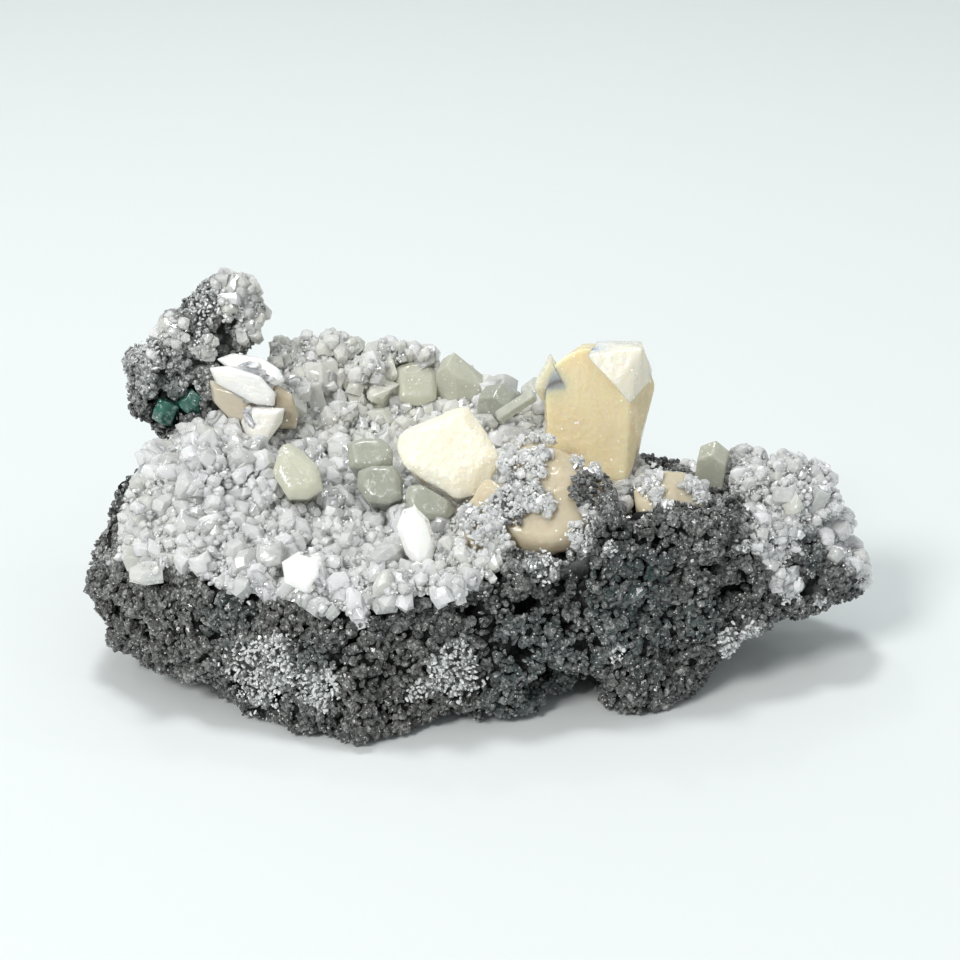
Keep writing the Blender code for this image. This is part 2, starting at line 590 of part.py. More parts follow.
def paint(obj):
    """Gives an object the material named in its colour property."""
    name = obj["colour"]
    material = bpy.data.materials.get(name) or bpy.data.materials.new(name)
    material.use_nodes = True
    shader = material.node_tree.nodes["Principled BSDF"]
    colour, roughness = COLOURS[name]
    shader.inputs["Base Color"].default_value = colour
    shader.inputs["Roughness"].default_value = roughness
    shader.inputs["Metallic"].default_value = 0.0
    obj.data.materials.clear()
    obj.data.materials.append(material)


def main():
    for obj in list(bpy.data.objects):
        bpy.data.objects.remove(obj)
    parts = bpy.data.collections.new("apophyllite_with_stilbite")
    guides = bpy.data.collections.new("guides")
    for collection in (parts, guides):
        bpy.context.scene.collection.children.link(collection)

    rings = rock_sections()
    envelope = whole_rock(rings, guides)
    crystals = named_crystals(parts)
    seats = [grown(obj, guides) for obj in crystals]
    for i, obj in enumerate(crystals):
        cut_seats(obj, seats[:i])

    rock = new_object("rock", envelope.data.copy(), parts)
    rock["colour"] = "dark_rock"
    for name, outline in (("druse_bed", DRUSE_OUTLINE), ("glass_bed", GLASS_OUTLINE)):
        boolean(rock, space_above_bed(name, rings, outline, 0, guides), "DIFFERENCE")
    cut_seats(rock, seats)

    keep_clear = []
    for obj in crystals:
        low, high = corners(obj)
        keep_clear.append((Vector((low + high) / 2 / MM), 0.36 * float(np.linalg.norm(high - low)) / MM))
    druse = new_object("apophyllite_druse", envelope.data.copy(), parts)
    druse["colour"] = "druse"
    standing = druse_crystals(rings, keep_clear, guides)
    fuse_self(standing)
    boolean(druse, standing, "UNION")
    boolean(druse, space_above_bed("druse_space", rings, DRUSE_OUTLINE, GAP, guides), "INTERSECT")
    cut_seats(druse, seats)

    glass = glassy_cluster(parts)
    boolean(glass, envelope, "UNION")
    boolean(glass, space_above_bed("glass_space", rings, GLASS_OUTLINE, GAP, guides), "INTERSECT")
    cut_seats(glass, seats)

    solids = (rock, druse, glass, *crystals)
    centre_on_origin(solids)
    for obj in solids:
        paint(obj)
    for obj in guides.objects:
        obj.hide_render = True
        obj.display_type = "WIRE"


main()
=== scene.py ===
"""Looks of a hand specimen: apophyllite with stilbite on beaded dark rock.

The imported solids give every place. The beads, sugar and blades that are too small for them are
surfaces worked out with numpy and laid on the solids. Lengths are in millimetres up to the moment
that they go into a mesh.
"""

import itertools
import math

import bmesh
import bpy
import numpy as np
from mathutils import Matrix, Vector
from mathutils.bvhtree import BVHTree


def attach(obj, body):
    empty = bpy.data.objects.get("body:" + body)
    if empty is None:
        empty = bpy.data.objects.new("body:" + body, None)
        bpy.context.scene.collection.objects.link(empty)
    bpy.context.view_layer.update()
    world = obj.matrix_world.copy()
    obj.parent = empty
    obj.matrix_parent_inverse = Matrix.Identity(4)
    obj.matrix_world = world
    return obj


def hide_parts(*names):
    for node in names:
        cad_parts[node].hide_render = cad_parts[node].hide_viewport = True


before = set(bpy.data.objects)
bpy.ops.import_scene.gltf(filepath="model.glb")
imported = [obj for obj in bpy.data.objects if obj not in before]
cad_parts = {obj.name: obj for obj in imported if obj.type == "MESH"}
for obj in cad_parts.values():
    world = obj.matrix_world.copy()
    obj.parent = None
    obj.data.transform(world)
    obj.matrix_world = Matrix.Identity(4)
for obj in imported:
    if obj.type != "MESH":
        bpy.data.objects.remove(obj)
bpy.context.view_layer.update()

MM = 0.001
BODY = "root"

# The photo's camera: its lens, its tilt above the horizon, and how far it stands from what it aims at.
LENS = 85.0
SENSOR = 36.0
TILT = math.radians(25.0)
AIM = Vector((0.0, 0.0, 0.0269))
DISTANCE = 0.3445

PIXELS = 960
FOCAL = LENS / SENSOR * PIXELS
FORWARD = np.array([0.0, math.cos(TILT), -math.sin(TILT)])
UP = np.array([0.0, math.sin(TILT), math.cos(TILT)])

# Sizes in millimetres. A voxel is the face size of a fine skin. Lumps are smaller on the second pass.
GROUND_VOXEL = 0.6
CRUST_VOXEL = 0.55
GUIDE_VOXEL = 0.5
GROUND_SUNK = 1.0
CLEFT_DEPTH = 2.6
CREASE_DEPTH = 1.5
LUMP_SPACING = 1.65
LUMP_RADIUS = (0.75, 1.3)
SMALL_SPACING = 1.12
SMALL_RADIUS = (0.34, 0.66)
DRUSE_SUNK = 0.6
GRAIN_SPACING = 0.55
CRUST_REACH = 1.2

# Lowest heights in millimetres: of any lump, of the rock's ground, and of the places where lumps stand.
FLOOR = 0.02
GROUND_FLOOR = 0.25
LUMP_FLOOR = 0.9

# Random places tried on the rock, on a crust, and on the guides for what grows on them, before thinning.
ROCK_PLACES = 90000
CRUST_PLACES = 50000
ROCK_GUIDE_PLACES = 60000
SMALL_GUIDE_PLACES = 12000

# The front rim in the photo, in its pixels, and the heights in millimetres between which the horn begins.
RIM_ACROSS = (100, 171, 230, 260, 296, 368, 440, 513, 585, 600, 638, 697, 720, 763, 809, 850)
RIM_DOWN = (555, 562, 575, 590, 602, 604, 585, 565, 545, 505, 505, 510, 500, 530, 520, 560)
HORN_BEGINS = (33, 37)

# The two crusts: a name, a seed, and the spacing, least and greatest size of each kind of crystal on it.
CRUSTS = [
    ("apophyllite_druse", 61, [("big", 3.7, 1.3, 2.3), ("mid", 2.3, 0.75, 1.35), ("fine", 1.25, 0.35, 0.7)]),
    ("glassy_cluster", 62, [("big", 3.4, 0.9, 1.6), ("mid", 2.0, 0.5, 0.9), ("fine", 1.1, 0.25, 0.5)]),
]

# Lights in metres and watts: a name, a place, a size, a power and a colour. Glints are small and hard.
LIGHTS = [
    ("key", (-0.8, -1.0, 1.1), 0.5, 15.5, (1.0, 0.99, 0.97)),
    ("top", (-0.1, 0.12, 1.0), 0.2, 3.4, (0.97, 0.99, 1.0)),
]
GLINTS = 10
GLINT_POWER = 0.12

# Patches as the photo shows them, in its pixels: across, down, radius.
CLEFTS = [
    (570, 581, 9), (599, 572, 7), (528, 605, 8), (522, 658, 11), (540, 648, 9), (673, 577, 9),
    (721, 571, 9), (747, 577, 9), (702, 557, 5), (739, 536, 5), (660, 540, 6), (582, 692, 14),
    (472, 611, 6), (818, 563, 4), (814, 592, 7), (646, 562, 6), (170, 525, 5), (372, 500, 5), (246, 606, 7),
    (352, 640, 8), (300, 625, 6),
]
TEAL = [
    (230, 620, 32), (300, 665, 28), (540, 655, 55), (630, 610, 60), (520, 700, 34), (700, 620, 26),
    (760, 500, 14), (815, 545, 24), (170, 385, 16),
]
FROST = [
    (178, 560, 15), (240, 570, 26), (265, 672, 34), (315, 690, 22), (742, 640, 22), (742, 545, 9),
    (545, 565, 15), (455, 672, 28), (460, 575, 26), (690, 562, 6), (790, 592, 12), (350, 590, 22),
    (775, 525, 14), (205, 305, 16), (225, 290, 12), (150, 355, 14), (175, 335, 12), (200, 345, 10),
    (160, 470, 14), (820, 600, 8), (650, 480, 14), (665, 505, 7), (705, 455, 12), (740, 470, 10),
    (610, 545, 8), (420, 690, 14), (615, 655, 8),
]
BROWN = [(150, 600, 60), (260, 640, 50), (400, 690, 60), (130, 560, 40)]
DOME_SUGAR = [
    (525, 470, 24), (515, 500, 18), (540, 500, 14), (486, 525, 20), (470, 515, 12), (500, 545, 13),
    (583, 535, 14), (590, 515, 9), (520, 440, 5), (535, 437, 4), (548, 436, 6), (578, 462, 5),
    (596, 470, 6),
]
DOME_DARK = [
    (600, 495, 22), (608, 520, 20), (583, 487, 13), (515, 515, 9), (512, 478, 6), (505, 500, 7),
    (615, 540, 12),
]
CRYSTALS_ON_ROCK = [
    (244, 300, 24), (250, 326, 16), (226, 286, 11), (172, 333, 13), (852, 548, 20), (866, 575, 12),
    (778, 540, 24), (790, 580, 14), (842, 525, 16), (640, 478, 9), (700, 462, 12), (205, 350, 12),
]
SHOULDER_SUGAR = [(648, 480, 12), (655, 492, 9), (700, 495, 9), (690, 485, 7), (660, 510, 7)]


# Numbers: noise, scattering and meshes from arrays. A seed is any whole number, and each use has its own.

def lattice(cells, seed):
    """A repeatable random number from 0 to 1 for each cell. The large odd numbers only spread the bits."""
    c = cells.astype(np.int64)
    h = c[..., 0] * 73856093 ^ c[..., 1] * 19349663 ^ c[..., 2] * 83492791 ^ (seed + 1) * 2654435761
    h = (h ^ (h >> 13)) * 1274126177 & 0xFFFFFFFF
    h = (h ^ (h >> 16)) * 2246822519 & 0xFFFFFFFF
    return ((h ^ (h >> 15)) & 0xFFFFFF) / float(0xFFFFFF)


def noise(points, size, seed=0):
    """Smooth noise from -1 to 1: random numbers on a cubic lattice of that size, blended by smoothstep."""
    p = points / size
    cell = np.floor(p)
    t = p - cell
    t = t * t * (3 - 2 * t)
    total = 0.0
    for corner in itertools.product((0, 1), repeat=3):
        weight = np.prod(np.where(np.array(corner) == 1, t, 1 - t), axis=-1)
        total = total + weight * lattice(cell + np.array(corner), seed)
    return 2 * total - 1


def layers(points, size, seed=0, count=3):
    """Noise on noise: each layer half the size and half the height of the one before."""
    return sum(noise(points, size / 2**k, seed + k) / 2**k for k in range(count)) / (2 - 2.0 ** (1 - count))


def knobs(points, size, seed=0):
    """Distance to the nearest of scattered seeds, one to a cell, over the cell's size: 0 on a seed."""
    p = points / size
    cell = np.floor(p)
    nearest = np.full(p.shape[:-1], 9.0)
    for step in itertools.product((-1, 0, 1), repeat=3):
        other = cell + np.array(step)
        seed_at = other + np.stack([lattice(other, seed + 11 * k) for k in range(3)], axis=-1)
        nearest = np.minimum(nearest, np.linalg.norm(p - seed_at, axis=-1))
    return nearest


def in_photo(points):
    """Where points fall in the photo, in its pixels across and down, as a pinhole sees them."""
    offset = points - np.array(AIM) / MM
    depth = DISTANCE / MM + offset @ FORWARD
    return PIXELS / 2 + FOCAL * offset[..., 0] / depth, PIXELS / 2 - FOCAL * (offset @ UP) / depth


def patched(points, patches, ragged=0.35, seed=70):
    """1 inside round patches that the photo shows, 0 well outside, with ragged edges."""
    across, down = in_photo(points)
    edge = 1 + ragged * layers(points, 2.0, seed)
    inside = np.zeros(len(points))
    for x, y, radius in patches:
        distance = np.hypot(across - x, down - y) / radius
        inside = np.maximum(inside, ramp(distance, 1.15 * edge, 0.75 * edge))
    return inside


def ramp(values, low, high):
    """0 below low, 1 above high, smooth between."""
    t = np.clip((values - low) / (high - low), 0, 1)
    return t * t * (3 - 2 * t)


def unit(vectors):
    """The vectors at a length of 1."""
    return vectors / np.maximum(np.linalg.norm(vectors, axis=-1, keepdims=True), 1e-12)


def mesh_from_arrays(name, points, faces, values=None, smooth=True):
    """A mesh of points in millimetres, faces as arrays of one corner count each, and values per point."""
    mesh = bpy.data.meshes.new(name)
    points = np.asarray(points, float).reshape(-1, 3)
    mesh.vertices.add(len(points))
    mesh.vertices.foreach_set("co", (points * MM).astype(np.float32).ravel())
    corners = np.concatenate([f.ravel() for f in faces])
    counts = np.concatenate([np.full(len(f), f.shape[1]) for f in faces])
    mesh.loops.add(len(corners))
    mesh.loops.foreach_set("vertex_index", corners.astype(np.int32))
    mesh.polygons.add(len(counts))
    mesh.polygons.foreach_set("loop_start", (np.cumsum(counts) - counts).astype(np.int32))
    mesh.polygons.foreach_set("use_smooth", np.full(len(counts), smooth))
    mesh.update(calc_edges=True)
    set_values(mesh, **(values or {}))
    return mesh


def set_values(mesh, **values):
    """Gives a mesh one named number per point for each thing that its material reads."""
    for key, numbers in values.items():
        layer = mesh.attributes.new(key, "FLOAT", "POINT")
        layer.data.foreach_set("value", np.asarray(numbers, np.float32).ravel())


def wrapped_faces(rows, columns):
    """Quads of a grid of points whose columns close in a ring."""
    i, j = np.meshgrid(np.arange(rows - 1), np.arange(columns), indexing="ij")
    a = i * columns + j
    b = i * columns + (j + 1) % columns
    return np.stack([a, b, b + columns, a + columns], axis=-1).reshape(-1, 4)


def closed_faces(rows, columns):
    """Faces of rows of points in rings, with one point more below the first ring and one above the last."""
    j = np.arange(columns)
    low, high = rows * columns, rows * columns + 1
    last = (rows - 1) * columns
    bottom = np.stack([np.full(columns, low), (j + 1) % columns, j], axis=-1)
    top = np.stack([np.full(columns, high), last + j, last + (j + 1) % columns], axis=-1)
    return [wrapped_faces(rows, columns), np.concatenate([bottom, top])]


def finished(mesh, slot, material, *nodes):
    """Puts a mesh in the scene as a piece of the specimen, in place of the nodes named, if any."""
    piece = bpy.data.objects.new(mesh.name, mesh)
    bpy.context.scene.collection.objects.link(piece)
    mesh.materials.append(material)
    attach(piece, BODY)
    if nodes:
        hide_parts(*nodes)
    return piece


def ground_of(node, voxel, name):
    """A fine skin over a CAD solid: a copy with its points merged, remeshed in small even faces."""
    bm = bmesh.new()
    bm.from_mesh(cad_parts[node].data)
    bmesh.ops.remove_doubles(bm, verts=bm.verts, dist=1e-6)
    source = bpy.data.meshes.new(name)
    bm.to_mesh(source)
    bm.free()
    holder = bpy.data.objects.new(name, source)
    bpy.context.scene.collection.objects.link(holder)
    remesh = holder.modifiers.new("even faces", "REMESH")
    remesh.mode = "VOXEL"
    remesh.voxel_size = voxel * MM
    graph = bpy.context.evaluated_depsgraph_get()
    mesh = bpy.data.meshes.new_from_object(holder.evaluated_get(graph))
    bpy.data.objects.remove(holder)
    mesh.name = name
    return mesh


def points_of(mesh):
    """Points and their normals, in millimetres."""
    count = len(mesh.vertices)
    points, normals = np.empty(3 * count), np.empty(3 * count)
    mesh.vertices.foreach_get("co", points)
    mesh.vertices.foreach_get("normal", normals)
    return points.reshape(-1, 3) / MM, normals.reshape(-1, 3)


def settle(mesh, points, **values):
    """Moves a fine skin's points, gives it its values, and leaves it smooth and without a material."""
    mesh.vertices.foreach_set("co", (points * MM).astype(np.float32).ravel())
    mesh.update()
    set_values(mesh, **values)
    mesh.polygons.foreach_set("use_smooth", np.ones(len(mesh.polygons), bool))
    mesh.materials.clear()


def scatter(mesh, count, rng):
    """Random places on a mesh, as many on each triangle as its area asks for, with their smooth normals."""
    mesh.calc_loop_triangles()
    corners = np.empty(3 * len(mesh.loop_triangles), np.int32)
    mesh.loop_triangles.foreach_get("vertices", corners)
    corners = corners.reshape(-1, 3)
    points, normals = points_of(mesh)
    a, b, c = (points[corners[:, k]] for k in range(3))
    area = np.linalg.norm(np.cross(b - a, c - a), axis=1)
    chosen = rng.choice(len(area), count, p=area / area.sum())
    u, v = rng.random((2, count, 1))
    flip = u + v > 1
    u, v = np.where(flip, 1 - u, u), np.where(flip, 1 - v, v)
    places = a[chosen] + u * (b - a)[chosen] + v * (c - a)[chosen]
    first, second, third = (normals[corners[chosen, k]] for k in range(3))
    lean = (1 - u - v) * first + u * second + v * third
    return places, unit(lean)


def one_per_cell(points, spacing, rng):
    """Indices of at most one point in each cube of that spacing, so that what stands there stays apart."""
    cells = np.floor(points / spacing + rng.random(3)).astype(np.int64)
    order = rng.permutation(len(points))
    _, first = np.unique(cells[order], axis=0, return_index=True)
    return order[first]


def frames_along(axes, rng):
    """A turn matrix for each axis: its third column is the axis, and the other two are turned at random."""
    count = len(axes)
    helper = np.where(np.abs(axes[:, 2:3]) < 0.9, np.array([[0.0, 0.0, 1.0]]), np.array([[1.0, 0.0, 0.0]]))
    first = unit(np.cross(helper, axes))
    second = np.cross(axes, first)
    turn = rng.random((count, 1)) * 2 * np.pi
    right = np.cos(turn) * first + np.sin(turn) * second
    return np.stack([right, np.cross(axes, right), axes], axis=-1)


def stamp(shapes, places, frames, sizes, which):
    """Scaled, turned and moved copies of small shapes, as one set of arrays. All have the same faces."""
    points, faces = shapes
    local = points[which] * sizes[:, None, :]
    world = np.einsum("nij,nkj->nki", frames, local) + places[:, None, :]
    each = points.shape[1]
    offsets = np.arange(len(places)) * each
    return world.reshape(-1, 3), [(f[None] + offsets[:, None, None]).reshape(-1, f.shape[1]) for f in faces]


# Small shapes that repeat.

def ball_rays(rows, columns):
    """Directions over a ball in rings from its foot to its top, then the foot and the top themselves."""
    v = (np.arange(rows) + 1) / (rows + 1) * np.pi
    u = np.arange(columns) / columns * 2 * np.pi
    v, u = np.meshgrid(v, u, indexing="ij")
    rings = np.stack([np.sin(v) * np.cos(u), np.sin(v) * np.sin(u), -np.cos(v)], axis=-1).reshape(-1, 3)
    return np.concatenate([rings, [[0, 0, -1.0], [0, 0, 1.0]]])


def lump_shapes(kinds, rows, columns):
    """Lumps of crust: balls with knobs of noise all round and a shallow cup in the top."""
    rays = ball_rays(rows, columns)
    cup = 1 - 0.35 * ramp(rays[:, 2], 0.55, 1.0)
    shapes = []
    for kind in range(kinds):
        place = rays + 7.0 * kind
        knobbly = 1 + 0.42 * noise(place, 1.1, 3) + 0.28 * noise(place, 0.55, 4)
        shapes.append(rays * (knobbly * cup)[:, None])
    return np.array(shapes), closed_faces(rows, columns)


def crystal_shapes(kinds, rng, tip=(0.3, 1.0), flat=(0.0, 0.6)):
    """Square prisms with four sloping faces at the end and a small flat on top: eight columns, four rows."""
    u = np.arange(8) / 8 * 2 * np.pi
    corner = np.arange(8) % 2 == 0
    shapes = []
    for _ in range(kinds):
        slope, cut = rng.uniform(*tip), rng.uniform(*flat)
        skew = 1 + rng.uniform(-0.16, 0.16, 8)
        radius = np.where(corner, 1.0, math.sqrt(0.5) * 1.1) * skew
        shoulder = np.where(corner, 1 - slope, 1 - slope * 0.56)
        ring = np.stack([np.cos(u) * radius, np.sin(u) * radius], axis=-1)
        rows = [
            np.column_stack([ring * 0.9, np.full(8, -1.0)]),
            np.column_stack([ring, shoulder - 0.03]),
            np.column_stack([ring * 0.965, shoulder + 0.03]),
            np.column_stack([ring * max(cut, 0.04), np.full(8, 1 - 0.08 * cut)]),
        ]
        shapes.append(np.concatenate([*rows, [[0, 0, -1.0], [0, 0, 1.0]]]))
    return np.array(shapes), closed_faces(4, 8)


def blade_shapes(kinds, rng):
    """Blades: flat six-sided rings from a foot at 0 to a slanting tip at 1."""
    u = np.arange(6) / 6 * 2 * np.pi
    shapes = []
    for _ in range(kinds):
        slant = rng.uniform(-0.12, 0.12)
        rows = []
        for height, width in ((0.0, 0.55), (0.55, 1.0), (0.9, 0.8)):
            x = np.cos(u) * width
            rows.append(np.column_stack([x, np.sin(u) * width, height + slant * x * height]))
        shapes.append(np.concatenate([*rows, [[0, 0, -0.02], [0, 0, 1.0]]]))
    return np.array(shapes), closed_faces(3, 6)


def grain_shapes(kinds, rng):
    """Grains of sugar: skewed square rings with a point at either end."""
    u = np.arange(4) / 4 * 2 * np.pi
    shapes = []
    for _ in range(kinds):
        ring = np.stack([np.cos(u), np.sin(u)], axis=-1) * rng.uniform(0.6, 1.1, (4, 1))
        low = np.column_stack([ring, np.full(4, -0.6)])
        high = np.column_stack([ring * rng.uniform(0.6, 1.0), rng.uniform(0.2, 0.9, 4)])
        shapes.append(np.concatenate([low, high, [[0, 0, -1.0], [0, 0, 1.1]]]))
    return np.array(shapes), closed_faces(2, 4)


# Big crystals.

def hull_planes(corners, merge):
    """Middle of a set of corners, and the outward normals and distances of the flat faces round it.

    Faces of the hull that meet at less than the merge angle, in degrees, count as one.
    """
    corners = np.unique(np.round(np.array(corners, float), 3), axis=0)
    middle = (corners.min(axis=0) + corners.max(axis=0)) / 2
    bm = bmesh.new()
    for corner in corners - middle:
        bm.verts.new(corner)
    hull = bmesh.ops.convex_hull(bm, input=bm.verts)
    loose = [g for g in hull["geom_interior"] if isinstance(g, bmesh.types.BMVert)]
    bmesh.ops.delete(bm, geom=loose, context="VERTS")
    bmesh.ops.dissolve_limit(bm, angle_limit=math.radians(merge), verts=bm.verts, edges=bm.edges)
    normals, distances = [], []
    for face in bm.faces:
        normal = np.array(face.normal)
        distance = float(np.mean([normal @ np.array(v.co) for v in face.verts]))
        normals.append(normal * np.sign(distance))
        distances.append(max(abs(distance), 0.2))
    bm.free()
    return middle, np.array(normals), np.array(distances)


def polyhedron(corners, rows, columns, crisp, merge, relief):
    """A crystal round a middle, its edges rounded by a p-norm of its face planes.

    With n a face's normal, d its distance and w a direction, the radius is (sum of (w.n / d)^p)^(-1/p) over
    the faces that look that way. A large p, called crisp here, gives crisp edges. Relief is then added along
    the direction.
    """
    middle, normals, distances = hull_planes(corners, merge)
    rays = ball_rays(rows, columns)
    reach = np.maximum(rays @ normals.T / distances, 0)
    peak = reach.max(axis=1, keepdims=True)
    radius = 1 / (peak[:, 0] * ((reach / peak) ** crisp).sum(axis=1) ** (1 / crisp))
    points = middle + rays * radius[:, None]
    return points + rays * relief(points)[:, None], closed_faces(rows, columns)


def joined(parts):
    """Several sets of points and faces as one. Each set of faces holds quads and then triangles."""
    points, quads, triangles, start = [], [], [], 0
    for p, (quad, triangle) in parts:
        points.append(p)
        quads.append(quad + start)
        triangles.append(triangle + start)
        start += len(p)
    return np.concatenate(points), [np.concatenate(quads), np.concatenate(triangles)]


def plate(outline, depth, bulge=0.8, front=0.72, back=0.78):
    """Corners of a chamfered plate: its rim, a smaller face pushed out, and another sunk by its depth."""
    rim = np.array(outline, float)
    middle = rim.mean(axis=0)
    normal = np.cross(rim - middle, np.roll(rim, -1, axis=0) - middle).sum(axis=0)
    normal /= np.linalg.norm(normal)
    normal *= -1 if normal[1] > 0 else 1
    return np.concatenate([rim, middle + (rim - middle) * front + normal * bulge,
                           middle + (rim - middle) * back - normal * depth])


# Materials.

def new_group(name, inputs, outputs):
    """An empty shader node group with its sockets, and its input and output nodes."""
    group = bpy.data.node_groups.new(name, "ShaderNodeTree")
    for label, kind, value in inputs:
        group.interface.new_socket(label, in_out="INPUT", socket_type=kind).default_value = value
    for label, kind in outputs:
        group.interface.new_socket(label, in_out="OUTPUT", socket_type=kind)
    return group, group.nodes.new("NodeGroupInput"), group.nodes.new("NodeGroupOutput")


def put(tree, kind, settings=None, **inputs):
    """Adds a node, sets its own properties, and fills its inputs by name, or by number as i0, i1 and so on.

    Each input gets a plain value, or a link from another node's output.
    """
    node = tree.nodes.new(kind)
    for key, value in (settings or {}).items():
        setattr(node, key, value)
    for key, value in inputs.items():
        numbered = key[0] == "i" and key[1:].isdigit()
        socket = node.inputs[int(key[1:])] if numbered else node.inputs[key.replace("_", " ")]
        if isinstance(value, bpy.types.NodeSocket):
            tree.links.new(value, socket)
        else:
            socket.default_value = value
    return node


def calc(tree, operation, a, b=0.0, clamp=False):
    """One step of arithmetic on two values."""
    return put(tree, "ShaderNodeMath", {"operation": operation, "use_clamp": clamp}, i0=a, i1=b).outputs[0]


def times(tree, a, b):
    """One value times another."""
    return calc(tree, "MULTIPLY", a, b)


def mixed(tree, factor, a, b, blend="MIX"):
    """Colour a turned towards colour b by the factor."""
    node = tree.nodes.new("ShaderNodeMix")
    node.data_type = "RGBA"
    node.blend_type = blend
    for socket, value in ((node.inputs[0], factor), (node.inputs[6], a), (node.inputs[7], b)):
        if isinstance(value, bpy.types.NodeSocket):
            tree.links.new(value, socket)
        else:
            socket.default_value = value
    return node.outputs[2]


def cloud_group():
    """Clouds: soft blotches of one size, in millimetres, from 0 at a low level to 1 at a high one."""
    group, given, out = new_group(
        "mineral_clouds",
        [("Size", "NodeSocketFloat", 2.0), ("Detail", "NodeSocketFloat", 4.0),
         ("Low", "NodeSocketFloat", 0.35), ("High", "NodeSocketFloat", 0.65)],
        [("Mask", "NodeSocketFloat")])
    place = put(group, "ShaderNodeTexCoord").outputs["Object"]
    scale = calc(group, "DIVIDE", 1 / MM, given.outputs["Size"])
    cloud = put(group, "ShaderNodeTexNoise", Vector=place, Scale=scale, Detail=given.outputs["Detail"])
    spread = put(group, "ShaderNodeMapRange", i0=cloud.outputs["Fac"], i1=given.outputs["Low"],
                 i2=given.outputs["High"])
    group.links.new(spread.outputs[0], out.inputs["Mask"])
    return group


def sparkle_group():
    """Sparkle: small cells of one size, each with its own tone and tilt, and a share of them bright."""
    group, given, out = new_group(
        "crystal_sparkle",
        [("Size", "NodeSocketFloat", 0.3), ("Share", "NodeSocketFloat", 0.05),
         ("Tilt", "NodeSocketFloat", 0.5)],
        [("Mask", "NodeSocketFloat"), ("Normal", "NodeSocketVector"), ("Tone", "NodeSocketFloat")])
    place = put(group, "ShaderNodeTexCoord").outputs["Object"]
    scale = calc(group, "DIVIDE", 1 / MM, given.outputs["Size"])
    cells = put(group, "ShaderNodeTexVoronoi", {"feature": "F1"}, Vector=place, Scale=scale)
    parts = put(group, "ShaderNodeSeparateColor", i0=cells.outputs["Color"])
    bright = calc(group, "LESS_THAN", parts.outputs[0], given.outputs["Share"])
    middle = calc(group, "LESS_THAN", cells.outputs["Distance"], 0.45)
    group.links.new(calc(group, "MULTIPLY", bright, middle), out.inputs["Mask"])
    group.links.new(parts.outputs[1], out.inputs["Tone"])
    lean = put(group, "ShaderNodeVectorMath", {"operation": "SUBTRACT"}, i0=cells.outputs["Color"],
               i1=(0.5, 0.5, 0.5)).outputs[0]
    tilted = put(group, "ShaderNodeVectorMath", {"operation": "SCALE"}, i0=lean, Scale=given.outputs["Tilt"])
    facing = put(group, "ShaderNodeNewGeometry").outputs["Normal"]
    added = put(group, "ShaderNodeVectorMath", {"operation": "ADD"}, i0=tilted.outputs[0], i1=facing)
    level = put(group, "ShaderNodeVectorMath", {"operation": "NORMALIZE"}, i0=added.outputs[0])
    group.links.new(level.outputs[0], out.inputs["Normal"])
    return group


CLOUDS = cloud_group()
SPARKLE = sparkle_group()


def use(tree, group, **values):
    """Adds a copy of a shared group with its inputs set."""
    node = put(tree, "ShaderNodeGroup", {"node_tree": group})
    for key, value in values.items():
        node.inputs[key].default_value = value
    return node


def clouds(tree, size, low, high, detail=4.0):
    """The mask of the shared clouds."""
    return use(tree, CLOUDS, Size=size, Detail=detail, Low=low, High=high).outputs[0]


def attribute(tree, name):
    """The numbers that a mesh carries under that name."""
    return put(tree, "ShaderNodeAttribute", {"attribute_name": name}).outputs["Fac"]


def principled(name, settings):
    """A material with a Principled shader whose plain values are set on its own sockets."""
    material = bpy.data.materials.new(name)
    material.use_nodes = True
    tree = material.node_tree
    shader = tree.nodes["Principled BSDF"]
    for label, value in settings.items():
        shader.inputs[label].default_value = value
    return material, tree, shader


def bumped(tree, shader, height, distance, normal=None):
    """Bumps the shader's normal: a height of 1 stands as high as the distance, in millimetres."""
    bump = put(tree, "ShaderNodeBump", Height=height, Distance=distance * MM, Strength=1.0)
    if normal is not None:
        tree.links.new(normal, bump.inputs["Normal"])
    tree.links.new(bump.outputs[0], shader.inputs["Normal"])


